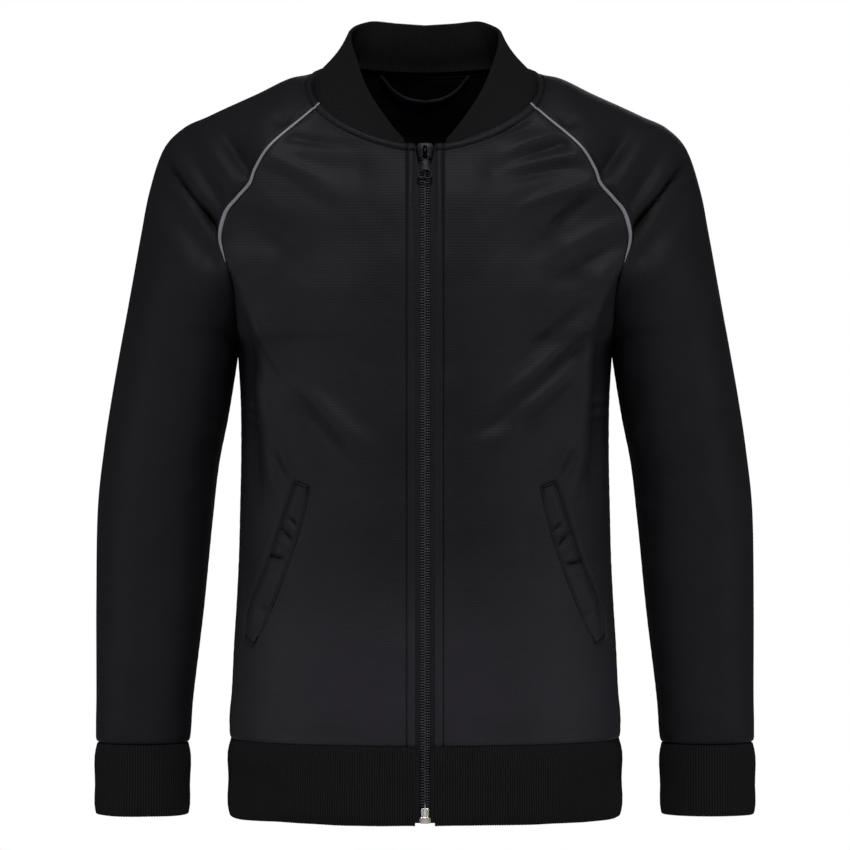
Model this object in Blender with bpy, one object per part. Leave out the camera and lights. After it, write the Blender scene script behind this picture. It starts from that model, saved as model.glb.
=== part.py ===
"""Men's track jacket, filled out as it hangs on a wearer, modelled as its cut and sewn pieces.

Sizes are millimetres. +X is the wearer's left, the front faces -Y and +Z is up. The origin is the
middle of the neck at the height of the shoulders' highest point, where the wearer carries it.
Every panel is worked out for the left side and mirrored for the right. A panel's skin is its outer
face, and the cloth's thickness lies inside it.
"""
import math

import bmesh
import bpy
import numpy as np

MM = 0.001

# Cloth
SHELL = 1.6            # thickness of the tricot
RIB = 3.0              # thickness of the doubled rib knit
SEAM_HALF = 0.16       # each piece stops this far from its seam line
LAID_GAP = 0.3         # what lies on a panel stands this far off it
UNDERARM_Z = -257.0
HEM_SEAM_Z = -605.0
CUFF_Y = -13.0

# Zip. Depths are measured from the front panels' skin, and are negative in front of it.
ZIP_EDGE = 8.7         # half the gap between the two front edges
ZIP_TOP_Z = -75.5
TAPE_TOP_Z = -77.6
CHAIN_TOP_Z = -79.0
TAPE_LOW_Z = -671.2
TAPE_X = (0.2, 14.0)
TAPE_SPREAD = 2.4      # above the slider the two tapes part by this on each side
TAPE_SPREAD_Z = (-90.0, -79.0)
TAPE_THICK = 1.0
CHAIN_X = 4.4
CHAIN_FRONT = -0.8
CHAIN_LOW_Z = -657.7
PINS_Z = (-665.4, -658.0)
PINS_X = 3.5
BOX_Z = (-671.4, -665.7)
BOX_X = 4.8
FITTINGS_Y = (-1.5, 1.5)

# Slider and pull tab, in a frame that leans with the zip, with its origin on the tab's hinge.
HINGE_Z = -87.6
HINGE_Y = -4.25
SLIDER_Z = (-3.2, 12.7)
SLIDER_X = (6.0, 8.2)  # half widths, at its foot and its head
PLATE_Y = (-2.9, -1.1)
BACK_PLATE_Y = (3.2, 4.6)
POST_X = 2.0
POST_Z = (11.3, 12.7)
BRIDGE_X = 1.5
BRIDGE_OUTSIDE = (
    # z, y
    (-2.7, -1.6),
    (0.0, -2.5),
    (3.2, -3.0),
    (6.4, -2.6),
    (9.0, -1.2),
)
BRIDGE_INSIDE = (
    # z, y
    (8.0, -0.6),
    (6.0, -1.5),
    (3.2, -1.9),
    (0.5, -1.5),
    (-1.7, -1.0),
)
UNION_DEPTH = 0.5      # how far the slider's pieces run into each other before they are joined
TAB_THICK = 1.4
TAB_SIDE = (
    # x, z: the edge from the hinge down to the ring
    (3.3, 0.7),
    (3.3, -3.8),
    (2.9, -5.6),
    (3.8, -9.0),
    (4.2, -12.4),
    (4.6, -13.9),
)
TAB_SLOT = (2.1, 3.6)  # half width, and how far it reaches below the hinge
TAB_RING = (7.0, 5.5)
TAB_RING_HOLE = (5.3, 3.8)
TAB_RING_Z = -18.7

# The body in level sections, from the hem seam to the underarm. Pulls set how square the front is.
BODY_SECTIONS = (
    # z, half_width, front_y, back_y, pull
    (-605.0, 174.3, -117.0, 111.0, 1.78),
    (-590.0, 175.6, -119.0, 114.0, 1.80),
    (-562.0, 173.5, -119.0, 112.0, 1.80),
    (-521.0, 171.5, -118.0, 109.0, 1.82),
    (-481.0, 169.0, -117.0, 107.0, 1.85),
    (-440.0, 167.0, -116.5, 106.0, 1.90),
    (-400.0, 166.0, -117.0, 107.0, 1.95),
    (-346.0, 165.0, -119.0, 110.0, 2.00),
    (-300.0, 165.5, -121.0, 114.0, 2.05),
    (-257.0, 168.0, -122.0, 118.0, 2.05),
)

# The hem rib in level sections, from its fold to its seam.
HEM_SECTIONS = (
    # z, half_width, front_y, back_y, pull
    (-674.0, 174.8, -117.6, 112.0, 1.78),
    (-670.0, 176.0, -118.6, 113.0, 1.78),
    (-640.0, 176.4, -118.6, 113.5, 1.78),
    (-612.0, 176.2, -118.6, 113.0, 1.78),
    (-605.0, 174.1, -117.0, 111.0, 1.78),
)

# The cuff in level sections, from its fold to its seam.
CUFF_SECTIONS = (
    # z, mid_x, half_width, half_depth
    (-671.7, 253.6, 40.9, 34.4),
    (-667.0, 253.6, 41.9, 35.2),
    (-645.0, 253.4, 42.1, 35.8),
    (-614.5, 253.1, 42.0, 36.8),
    (-607.7, 253.0, 40.4, 36.7),
)

# The centre lines of front and back above the underarm.
FRONT_CENTRE = (
    # z, y
    (-257.0, -122.0),
    (-205.0, -122.5),
    (-155.0, -116.5),
    (-115.0, -106.0),
    (-95.0, -98.6),
    (-75.5, -91.0),
)
BACK_CENTRE = (
    # z, y
    (-257.0, 118.0),
    (-200.0, 121.0),
    (-140.0, 118.0),
    (-85.0, 106.0),
    (-38.0, 86.0),
    (2.0, 68.0),
)

# The neck seam over the shoulder, from the front raglan seam to the back one.
NECK_SIDE = (
    # x, y, z
    (93.2, -56.0, -37.7),
    (99.3, -33.0, -26.4),
    (98.8, -8.0, -11.4),
    (93.4, 13.0, -2.5),
    (83.0, 35.0, 3.0),
    (64.0, 53.0, 5.0),
)

# Sleeve rings, from the shoulder to the cuff seam. Seen from the front a ring is a straight line,
# from the sleeve's outline to the front raglan seam or, below the underarm, to its inner edge. Turns
# are the degrees from the outline round to the front and back seams.
SLEEVE_RINGS = (
    # out_x, out_z, in_x, in_z, front_turn, back_turn, mid_y, deep_front, deep_back
    (120.0, -10.5, 107.6, -50.4, 60.0, 60.0, 4.0, 79.0, 68.0),
    (150.8, -25.2, 136.3, -76.1, 66.0, 66.0, 3.0, 91.0, 84.0),
    (178.7, -37.8, 149.4, -96.6, 72.0, 70.0, 2.0, 89.0, 92.0),
    (196.0, -46.0, 154.5, -110.0, 75.0, 72.0, 1.0, 87.0, 94.0),
    (217.0, -56.0, 165.5, -122.5, 78.0, 75.0, 0.0, 83.0, 95.0),
    (235.4, -75.6, 176.0, -135.7, 81.0, 78.0, 0.0, 79.0, 95.0),
    (247.9, -113.4, 180.9, -156.3, 86.0, 84.0, 0.0, 78.0, 93.0),
    (255.2, -151.0, 177.0, -176.0, 97.0, 97.0, 0.0, 80.0, 90.0),
    (261.8, -189.0, 169.5, -201.0, 122.0, 122.0, 0.0, 79.0, 85.0),
    (268.8, -227.0, 167.0, -235.0, 152.0, 152.0, 0.0, 76.0, 80.0),
    (274.0, -251.0, 168.0, -257.0, 180.0, 180.0, 0.0, 74.0, 77.0),
    (282.0, -300.0, 177.0, -314.0, 180.0, 180.0, 1.0, 71.0, 73.0),
    (288.8, -345.0, 185.6, -358.0, 180.0, 180.0, 2.0, 67.0, 68.0),
    (294.6, -400.0, 191.6, -410.0, 180.0, 180.0, 2.0, 62.0, 63.0),
    (295.6, -481.0, 199.0, -487.0, 180.0, 180.0, -2.0, 55.0, 56.0),
    (295.0, -562.0, 208.0, -565.0, 180.0, 180.0, -9.0, 47.0, 48.0),
    (295.2, -594.0, 210.0, -594.0, 180.0, 180.0, -12.0, 42.0, 42.0),
    (293.5, -607.7, 212.4, -607.7, 180.0, 180.0, CUFF_Y, 37.0, 37.0),
)
UNDERARM = 11          # the station whose ring closes; station 0 is the neck

# How the panels' rows leave the middle and reach the raglan seam. The turn is from straight outward
# (0) to straight back (90), and the pulls say how far the row keeps to each end's direction.
FRONT_ROWS = (
    # station, middle_pull, turn, seam_pull
    (0.0, 1.20, 58.0, 2.80),
    (1.0, 1.25, 45.0, 2.20),
    (2.0, 1.30, 32.0, 1.90),
    (3.0, 1.35, 24.0, 1.90),
    (5.0, 1.45, 14.0, 1.90),
    (7.0, 1.60, 12.0, 1.90),
    (8.0, 1.75, 34.0, 1.90),
    (9.0, 1.90, 80.0, 1.95),
    (10.0, 2.00, 97.0, 2.00),
    (11.0, 2.05, 90.0, 2.05),
)
BACK_ROWS = (
    # station, middle_pull, turn, seam_pull
    (0.0, 1.10, 50.0, 2.00),
    (1.0, 1.15, 40.0, 1.90),
    (2.0, 1.20, 32.0, 1.80),
    (3.0, 1.25, 26.0, 1.80),
    (5.0, 1.35, 20.0, 1.80),
    (7.0, 1.50, 25.0, 1.80),
    (8.0, 1.60, 45.0, 1.80),
    (9.0, 1.70, 80.0, 1.80),
    (10.0, 1.80, 95.0, 1.80),
    (11.0, 1.80, 90.0, 1.80),
)
BODY_BACK_PULL = 1.8

# The largest folds, as seen from the front (or, for the back, through it). Height is outward.
FRONT_FOLDS = (
    # x, z, to_x, to_z, width, height
    (243.0, -84.0, 186.0, -150.0, 15.0, 4.5),
    (240.0, -112.0, 190.0, -172.0, 13.0, -6.5),
    (172.0, -190.0, 146.0, -250.0, 15.0, 6.0),
    (148.0, -255.0, 142.0, -340.0, 20.0, 4.0),
    (110.0, -92.0, 60.0, -100.0, 12.0, -3.5),
    (165.0, -210.0, 120.0, -160.0, 14.0, -3.5),
)
BACK_FOLDS = (
    # x, z, to_x, to_z, width, height
    (170.0, -200.0, 130.0, -140.0, 16.0, -5.0),
    (172.0, -225.0, 120.0, -215.0, 14.0, 4.0),
    (150.0, -260.0, 138.0, -390.0, 22.0, 4.0),
)
FOLD_DEPTH = (25.0, 60.0)   # folds start this far from the middle of the depth, and are full here

# The collar's folded top edge, from the zip to the middle of the back.
COLLAR_TOP = (
    # x, y, z
    (18.9, -90.5, -71.0),
    (28.6, -88.0, -61.6),
    (38.0, -80.5, -47.8),
    (49.3, -67.0, -29.0),
    (58.3, -51.0, -8.4),
    (63.5, -32.0, 9.0),
    (68.0, -6.0, 24.5),
    (67.5, 20.0, 34.5),
    (60.5, 40.0, 41.0),
    (49.0, 54.0, 45.0),
    (25.0, 60.0, 43.5),
    (0.0, 61.5, 42.0),
)
COLLAR_DIP = 3.0       # how far the collar is hollowed between its seam and its fold

# The pocket welt, as seen from the front: its opening edge and its stitched edge, from the top.
WELT = (
    # outer_x, outer_z, inner_x, inner_z
    (115.4, -375.8, 101.2, -376.6),
    (125.1, -409.2, 107.4, -406.4),
    (138.6, -446.3, 118.9, -444.2),
    (153.4, -480.4, 133.3, -481.5),
    (159.4, -510.9, 150.6, -518.4),
)
WELT_THICK = 1.5

PIPING_HALF_WIDTH = 1.5
PIPING_HALF_HEIGHT = 0.7
PIPING_STATIONS = (0.02, 8.7)

# The loop inside the back neck, seen from the front.
LOOP = (
    # x, z
    (40.0, -4.5),
    (31.0, -15.5),
    (17.0, -24.0),
    (0.0, -27.0),
)
LOOP_RADIUS = 1.7


# ------------------------------------------------------------------------------------------- curves

def curve(knots, values):
    """Smooth curve through the rows of a table. Each slope comes from the row's neighbours."""
    knots = np.asarray(knots, float)
    values = np.asarray(values, float)
    slopes = np.gradient(values, knots, axis=0)

    def at(place):
        place = np.clip(np.asarray(place, float), knots[0], knots[-1])
        left = np.clip(np.searchsorted(knots, place, side="right") - 1, 0, len(knots) - 2)
        step = knots[left + 1] - knots[left]
        u = (place - knots[left]) / step
        if values.ndim > 1:
            u, step = u[..., None], step[..., None]
        return ((1 + 2 * u) * (1 - u) ** 2 * values[left] + u * (1 - u) ** 2 * step * slopes[left]
                + u * u * (3 - 2 * u) * values[left + 1] + u * u * (u - 1) * step * slopes[left + 1])

    return at


def table_curve(table):
    """A table's columns as curves of its first column."""
    rows = np.array(table, float)
    return curve(rows[:, 0], rows[:, 1:])


def arc_shares(points):
    """How far along a row of points each one lies, from 0 to 1."""
    steps = np.linalg.norm(np.diff(points, axis=0), axis=1)
    total = np.concatenate([[0.0], np.cumsum(steps)])
    return total / total[-1]


def pulled_row(start, start_pull, end, end_pull, along):
    """A cubic row from start to end, which leaves and arrives along the two pulls."""
    u = np.asarray(along, float)[:, None]
    return ((1 + 2 * u) * (1 - u) ** 2 * start + u * (1 - u) ** 2 * start_pull
            + u * u * (3 - 2 * u) * end + u * u * (u - 1) * end_pull)


def unit(vectors):
    return vectors / np.maximum(np.linalg.norm(vectors, axis=-1, keepdims=True), 1e-9)


body_at = table_curve(BODY_SECTIONS)
hem_at = table_curve(HEM_SECTIONS)
cuff_at = table_curve(CUFF_SECTIONS)
front_centre_at = table_curve(FRONT_CENTRE)
back_centre_at = table_curve(BACK_CENTRE)
front_pulls_at = table_curve(FRONT_ROWS)
back_pulls_at = table_curve(BACK_ROWS)
neck_side_at = curve(arc_shares(np.array(NECK_SIDE)), NECK_SIDE)
collar_top_at = curve(arc_shares(np.array(COLLAR_TOP)), COLLAR_TOP)


# ------------------------------------------------------------------------------ surfaces of the form

def folded(points):
    """Points of the plain form with the folds laid on them, forward at the front, rearward behind."""
    shaped = points.copy()
    for table, way in ((FRONT_FOLDS, -1.0), (BACK_FOLDS, 1.0)):
        share = np.clip((way * points[..., 1] - FOLD_DEPTH[0]) / (FOLD_DEPTH[1] - FOLD_DEPTH[0]), 0, 1)
        for x, z, to_x, to_z, width, height in table:
            length = math.hypot(to_x - x, to_z - z)
            way_x, way_z = (to_x - x) / length, (to_z - z) / length
            along = (points[..., 0] - x) * way_x + (points[..., 2] - z) * way_z
            beside = (points[..., 0] - x) * way_z - (points[..., 2] - z) * way_x
            beyond = np.maximum(np.maximum(-along, along - length), 0)
            lift = height * np.exp(-(beside ** 2 + beyond ** 2) / width ** 2)
            shaped[..., 1] += way * share * lift
    return shaped


def ring_points(ring, across):
    """Points round one sleeve ring, from its front seam (0) over the outline to its back seam (1)."""
    out_x, out_z, in_x, in_z, front_turn, back_turn, mid_y, deep_front, deep_back = ring
    front_turn, back_turn = math.radians(front_turn), math.radians(back_turn)
    turn = -front_turn + (front_turn + back_turn) * across
    reach = np.array([out_x - in_x, 0.0, out_z - in_z]) / (1 - math.cos(front_turn))
    points = np.array([out_x, mid_y, out_z]) - reach + np.cos(turn)[:, None] * reach
    points[:, 1] += np.where(turn < 0, deep_front, deep_back) * np.sin(turn)
    return points


def plain_sleeve(stations, across):
    """Rows of the sleeve, one for each station, on smooth curves through the rings."""
    across = np.asarray(across, float)
    rings = [neck_side_at(across)] + [ring_points(ring, across) for ring in SLEEVE_RINGS]
    lengthwise = curve(np.arange(len(rings)), np.array(rings).reshape(len(rings), -1))
    return lengthwise(np.asarray(stations, float)).reshape(len(stations), len(across), 3)


def body_row(z, along, front):
    """A level row below the underarm, from the middle out to the side seam."""
    half_width, front_y, back_y, pull = body_at(z)
    middle_x, middle_y, pull = (ZIP_EDGE, front_y, pull) if front else (0.0, back_y, BODY_BACK_PULL)
    start = np.array([middle_x, middle_y, z])
    end = np.array([half_width, 0.0, z])
    return pulled_row(start, np.array([pull * (half_width - middle_x), 0.0, 0.0]),
                      end, np.array([0.0, -pull * middle_y, 0.0]), along)


def yoke_row(station, along, front):
    """A row above the underarm, from the middle out to the raglan seam at a sleeve's station."""
    end = plain_sleeve([station], [0.0 if front else 1.0])[0, 0]
    neck_z = (NECK_SIDE[0] if front else NECK_SIDE[-1])[2]
    top_z = ZIP_TOP_Z if front else BACK_CENTRE[-1][0]
    z = UNDERARM_Z + (top_z - UNDERARM_Z) * (end[2] - UNDERARM_Z) / (neck_z - UNDERARM_Z)
    centre_y = float((front_centre_at if front else back_centre_at)(z)[0])
    start = np.array([ZIP_EDGE if front else 0.0, centre_y, z])
    middle_pull, turn, seam_pull = (front_pulls_at if front else back_pulls_at)(station)
    turn = math.radians(turn)
    wide, deep, high = end - start
    start_pull = np.array([middle_pull * wide, 0.0, 0.2 * high])
    end_pull = np.array([math.cos(turn) * wide, math.sin(turn) * seam_pull * deep, 1.4 * high])
    return pulled_row(start, start_pull, end, end_pull, along)


def panel_row(height, along, front):
    """One row of a front or of half the back. Height is 0 at the hem, 1 at the underarm, 2 at the neck."""
    if height <= 1:
        return folded(body_row(HEM_SEAM_Z + (UNDERARM_Z - HEM_SEAM_Z) * height, along, front))
    return folded(yoke_row(UNDERARM * (2 - height), along, front))


def front_rows(heights, along):
    return np.array([panel_row(height, along, True) for height in heights])


def back_rows(heights, along):
    return np.array([panel_row(height, along, False) for height in heights])


def sleeve_rows(stations, across):
    return folded(plain_sleeve(stations, across))


def outward(surface, rows, columns, row_range, flip=1.0):
    """Outward directions of a surface at a grid of rows and columns."""
    rows, columns = np.asarray(rows, float), np.asarray(columns, float)
    step = 0.004
    right = surface(rows, np.clip(columns + step, 0, 1)) - surface(rows, np.clip(columns - step, 0, 1))
    up = (surface(np.clip(rows + step, *row_range), columns)
          - surface(np.clip(rows - step, *row_range), columns))
    return flip * unit(np.cross(right, up))


def front_outward(heights, along):
    return outward(front_rows, heights, along, (0, 2))


def back_outward(heights, along):
    return outward(back_rows, heights, along, (0, 2), -1.0)


def sleeve_outward(stations, across):
    return outward(sleeve_rows, stations, across, (0, len(SLEEVE_RINGS)), -1.0)


def seam_outward(station, front):
    """The direction that a panel's and the sleeve's cut edges share at the raglan seam."""
    panel = (front_outward if front else back_outward)([2 - station / UNDERARM], [1.0])[0, 0]
    return unit(panel + sleeve_outward([station], [0.0 if front else 1.0])[0, 0])


def panel_point(x, z, front):
    """A panel's skin and its outward direction at a place seen straight from the front."""
    low, high = 0.0, 2.0
    for _ in range(30):
        height = (low + high) / 2
        inner, outer = 0.0, 1.0
        for _ in range(30):
            share = (inner + outer) / 2
            point = panel_row(height, [share], front)[0]
            inner, outer = (share, outer) if point[0] < x else (inner, share)
        low, high = (height, high) if point[2] < z else (low, height)
    return point, (front_outward if front else back_outward)([height], [share])[0, 0]


def neck_seam():
    """The left half of the neck seam, from the collar's point to the middle of the back.

    Its points are the panels' own, without the front panel's first one, which lies behind the zip.
    """
    front = panel_row(2.0, FRONT_COLUMNS, True)
    side = neck_side_at(SLEEVE_COLUMNS)
    back = panel_row(2.0, BACK_COLUMNS[::-1], False)
    return np.vstack([front[1:], side[1:], back[1:]])


def neck_outward():
    """The panels' outward directions at the same points."""
    front = front_outward([2.0], FRONT_COLUMNS)[0]
    side = sleeve_outward([0.0], SLEEVE_COLUMNS)[0]
    back = back_outward([2.0], BACK_COLUMNS[::-1])[0]
    front[-1], side[-1] = seam_outward(0.0, True), seam_outward(0.0, False)
    return np.vstack([front[1:], side[1:], back[1:]])


def front_edge_y(z):
    """Depth of the front panels' skin at the zip."""
    return float(front_centre_at(z)[0] if z > UNDERARM_Z else body_at(z)[1])


# -------------------------------------------------------------------------------- bodies from points

def mirrored(points):
    return points * np.array([-1.0, 1.0, 1.0])


def add_object(name, points, faces, material):
    """One closed body from points in millimetres, with its faces turned outward."""
    used = sorted({number for face in faces for number in face})
    place = {number: order for order, number in enumerate(used)}
    mesh = bpy.data.meshes.new(name)
    mesh.from_pydata([tuple(points[number] * MM) for number in used], [],
                     [[place[number] for number in face] for face in faces])
    model = bmesh.new()
    model.from_mesh(mesh)
    bmesh.ops.recalc_face_normals(model, faces=model.faces)
    model.to_mesh(mesh)
    model.free()
    mesh.materials.append(material)
    mesh.shade_smooth()
    mesh.set_sharp_from_angle(angle=math.radians(40))
    obj = bpy.data.objects.new(name, mesh)
    bpy.context.collection.objects.link(obj)
    return obj


def grid_faces(ids):
    return [(a, b, c, d) for low, high in zip(ids[:-1], ids[1:])
            for a, b, c, d in zip(low[:-1], low[1:], high[1:], high[:-1])]


def grid_outward(skin):
    """Outward directions of a grid of points whose columns run anticlockwise and whose rows rise."""
    return unit(np.cross(np.gradient(skin, axis=1), np.gradient(skin, axis=0)))


def hold_back(skin, first_row=True, last_row=True, first_column=True, last_column=True):
    """Draw a panel's edges back from its seam lines."""
    held = skin.copy()
    for edge, inner, wanted in ((0, 1, first_row), (-1, -2, last_row)):
        held[edge] += wanted * SEAM_HALF * unit(skin[inner] - skin[edge])
    for edge, inner, wanted in ((0, 1, first_column), (-1, -2, last_column)):
        held[:, edge] += wanted * SEAM_HALF * unit(skin[:, inner] - skin[:, edge])
    return held


def wall(name, skin, thick, material, side=1, joined=None, normal=None):
    """A cloth wall: the skin, its inner face one thickness inside, and the cut edges between.

    In the rows marked as joined, the last column is the first one again, as round a tube.
    """
    rows, columns = skin.shape[:2]
    joined = np.zeros(rows, bool) if joined is None else joined
    normal = grid_outward(skin) if normal is None else normal
    outer = np.arange(rows * columns).reshape(rows, columns)
    outer[joined, -1] = outer[joined, 0]
    inner = outer + rows * columns
    faces = grid_faces(outer) + grid_faces(inner)
    for edge in (0, -1):
        faces += grid_faces(np.array([outer[edge], inner[edge]]))
        cut = np.array([outer[:, edge], inner[:, edge]])
        faces += [face for row, face in enumerate(grid_faces(cut)) if not joined[row:row + 2].all()]
    points = np.concatenate([skin.reshape(-1, 3), (skin - thick * normal).reshape(-1, 3)])
    return add_object(name, mirrored(points) if side < 0 else points, faces, material)


def swept(name, sections, material, side=1):
    """A rod through closed sections, with flat ends."""
    count, corners = sections.shape[:2]
    ids = np.arange(count * corners).reshape(count, corners)
    ids = np.concatenate([ids, ids[:, :1]], axis=1)
    faces = grid_faces(ids) + [tuple(ids[0, :-1]), tuple(ids[-1, :-1])]
    points = sections.reshape(-1, 3)
    return add_object(name, mirrored(points) if side < 0 else points, faces, material)


def prism(outline, depths):
    """An outline in x and z, given depth along y: its points and faces."""
    count = len(outline)
    points = np.array([(x, y, z) for y in depths for x, z in outline], float)
    ids = np.arange(2 * count).reshape(2, count)
    ids = np.concatenate([ids, ids[:, :1]], axis=1)
    return points, grid_faces(ids) + [tuple(ids[0, :-1]), tuple(ids[1, :-1])]


def box_outline(half_width, low, high):
    return [(-half_width, low), (half_width, low), (half_width, high), (-half_width, high)]


def oval(half_width, half_height, mid_z, count):
    return [(half_width * math.cos(turn), mid_z + half_height * math.sin(turn))
            for turn in (2 * math.pi * step / count for step in range(count))]


def combine(target, tool, operation):
    """Join a tool object to a target or cut it away, and leave the tool out of the model."""
    tool.hide_render = True
    tool.display_type = "WIRE"
    tool.parent = target
    step = target.modifiers.new(operation.lower(), "BOOLEAN")
    step.operation = operation
    step.object = tool


# ----------------------------------------------------------------------------------------- finishes

def finish(name, colour, roughness, metallic=0.0):
    material = bpy.data.materials.new(name)
    material.use_nodes = True
    shader = material.node_tree.nodes["Principled BSDF"]
    shader.inputs["Base Color"].default_value = (*colour, 1.0)
    shader.inputs["Roughness"].default_value = roughness
    shader.inputs["Metallic"].default_value = metallic
    return material


# ------------------------------------------------------------------------------------ cloth panels

# Front, back and sleeve have their rows at the same stations, so that their raglan seams match.
SEAM_STATIONS = np.array([11, 10.5, 10, 9.5, 9, 8.5, 8, 7.5, 7, 6.5, 6, 5.5, 5, 4, 3, 2, 1.5, 1, 0])
PANEL_HEIGHTS = np.concatenate([[0.0, 0.04], np.linspace(0.1, 1, 10)[:-1], 2 - SEAM_STATIONS / UNDERARM])
SLEEVE_STATIONS = np.concatenate([np.linspace(len(SLEEVE_RINGS), UNDERARM, 12)[:-1], SEAM_STATIONS])
FRONT_COLUMNS = np.linspace(0, 1, 11)
BACK_COLUMNS = np.linspace(0, 1, 9)
SLEEVE_COLUMNS = np.linspace(0, 1, 17)
SHARED_SEAM = 7.5      # down to this station the seam lies flat, and both sides share its direction


def share_seam(normal, stations, column, front):
    """Give a piece's cut edge the direction that it shares with its neighbour's."""
    for row, station in enumerate(stations):
        if station <= SHARED_SEAM:
            normal[row, column] = seam_outward(station, front)


def front_panel(name, material, side):
    skin = hold_back(front_rows(PANEL_HEIGHTS, FRONT_COLUMNS), first_column=False)
    normal = front_outward(PANEL_HEIGHTS, FRONT_COLUMNS)
    share_seam(normal, UNDERARM * (2 - PANEL_HEIGHTS), -1, True)
    wall(name, skin, SHELL, material, side, normal=normal)


def back_panel(material):
    half = back_rows(PANEL_HEIGHTS, BACK_COLUMNS)
    normal = back_outward(PANEL_HEIGHTS, BACK_COLUMNS)
    share_seam(normal, UNDERARM * (2 - PANEL_HEIGHTS), -1, False)
    skin = hold_back(np.concatenate([half[:, ::-1], mirrored(half)[:, 1:]], axis=1))
    wall("back", skin, SHELL, material,
         normal=np.concatenate([normal[:, ::-1], mirrored(normal)[:, 1:]], axis=1))


def sleeve(name, material, side):
    """The raglan sleeve, from the cuff up: a closed tube to the underarm, open along the raglan seams."""
    skin = sleeve_rows(SLEEVE_STATIONS, SLEEVE_COLUMNS)
    closed = SLEEVE_STATIONS >= UNDERARM
    normal = sleeve_outward(SLEEVE_STATIONS, SLEEVE_COLUMNS)
    share_seam(normal, SLEEVE_STATIONS, 0, True)
    share_seam(normal, SLEEVE_STATIONS, -1, False)
    normal[closed, 0] = normal[closed, -1] = unit(normal[closed, 0] + normal[closed, -1])
    ends = hold_back(skin, first_column=False, last_column=False)
    sides = hold_back(skin, first_row=False, last_row=False)
    held = np.where(closed[:, None, None], ends, ends + sides - skin)
    fork = closed.sum() - 1
    held[fork, (0, -1)] += 2 * SEAM_HALF * unit(skin[fork - 1, 0] - skin[fork, 0])
    wall(name, held, SHELL, material, side, closed, normal)


def collar(material):
    base = neck_seam()
    top = collar_top_at(arc_shares(base))
    base = np.concatenate([base, mirrored(base)[-2::-1]])
    top = np.concatenate([top, mirrored(top)[-2::-1]])
    seam = neck_outward()
    seam = np.concatenate([seam, mirrored(seam)[-2::-1]])
    width = np.linalg.norm(top - base, axis=1, keepdims=True)
    dip = COLLAR_DIP * width / width.max() * unit(base * np.array([1.0, 1.0, 0.0]))
    skin = np.array([base + (top - base) * rise - math.sin(math.pi * rise) * dip
                     for rise in np.linspace(0, 1, 5)])
    normal = grid_outward(skin)
    normal[0] = seam
    wall("collar", hold_back(skin, last_row=False, first_column=False, last_column=False),
         RIB, material, normal=normal)


def hem_rib(material):
    rows = []
    for z in (section[0] for section in HEM_SECTIONS):
        half_width, front_y, back_y, pull = hem_at(z)
        side = np.array([half_width, 0.0, z])
        front = pulled_row(np.array([ZIP_EDGE, front_y, z]), np.array([pull * (half_width - ZIP_EDGE), 0, 0]),
                           side, np.array([0.0, -pull * front_y, 0.0]), FRONT_COLUMNS)
        back = pulled_row(side, np.array([0.0, BODY_BACK_PULL * back_y, 0.0]), np.array([0.0, back_y, z]),
                          np.array([-BODY_BACK_PULL * half_width, 0.0, 0.0]), BACK_COLUMNS)
        left = np.concatenate([front, back[1:]])
        rows.append(np.concatenate([left, mirrored(left)[-2::-1]]))
    wall("hem_rib", hold_back(np.array(rows), first_row=False, first_column=False, last_column=False),
         RIB, material)


def cuff(name, material, side):
    turns = np.linspace(0, 2 * math.pi, 21)
    rows = []
    for z in (section[0] for section in CUFF_SECTIONS):
        mid_x, half_width, half_depth = cuff_at(z)
        rows.append(np.stack([mid_x + half_width * np.cos(turns), CUFF_Y + half_depth * np.sin(turns),
                              np.full(len(turns), z)], axis=1))
    skin = hold_back(np.array(rows), first_row=False, first_column=False, last_column=False)
    wall(name, skin, RIB, material, side, np.ones(len(rows), bool))


def welt(name, material, side):
    """The pocket welt, a strip on the front panel's own points."""
    edges = curve(np.linspace(0, 1, len(WELT)), WELT)
    skin, normal = [], []
    for share in np.linspace(1, 0, 10):
        outer_x, outer_z, inner_x, inner_z = edges(share)
        spots = [panel_point(inner_x + (outer_x - inner_x) * part,
                             inner_z + (outer_z - inner_z) * part, True) for part in np.linspace(0, 1, 4)]
        skin.append([point + (LAID_GAP + WELT_THICK) * out for point, out in spots])
        normal.append([out for _, out in spots])
    wall(name, np.array(skin), WELT_THICK, material, side, normal=np.array(normal))


def piping(name, material, side):
    """The piping, a flat cord that lies on the two panels along the front raglan seam."""
    sections = []
    top, low = PIPING_STATIONS
    for station in (low, *SEAM_STATIONS[(SEAM_STATIONS > top) & (SEAM_STATIONS < low)], top):
        before, here, after = sleeve_rows([station - 0.02, station, station + 0.02], [0.0])[:, 0]
        sleeve_way = unit(sleeve_rows([station], [0.04])[0, 0] - here)
        panel_way = unit(panel_row(2 - station / UNDERARM, [0.96], True)[0] - here)
        across = unit(sleeve_way - panel_way)
        out = unit(np.cross(across, unit(before - after)))
        rise = max(0.0, float(sleeve_way @ out), float(panel_way @ out))
        lift = PIPING_HALF_HEIGHT + LAID_GAP + PIPING_HALF_WIDTH * rise / math.sqrt(1 - rise ** 2)
        sections.append([here + (lift + PIPING_HALF_HEIGHT * math.sin(turn)) * out
                         + PIPING_HALF_WIDTH * math.cos(turn) * across
                         for turn in (math.pi * step / 3 for step in range(6))])
    swept(name, np.array(sections), material, side)


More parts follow.
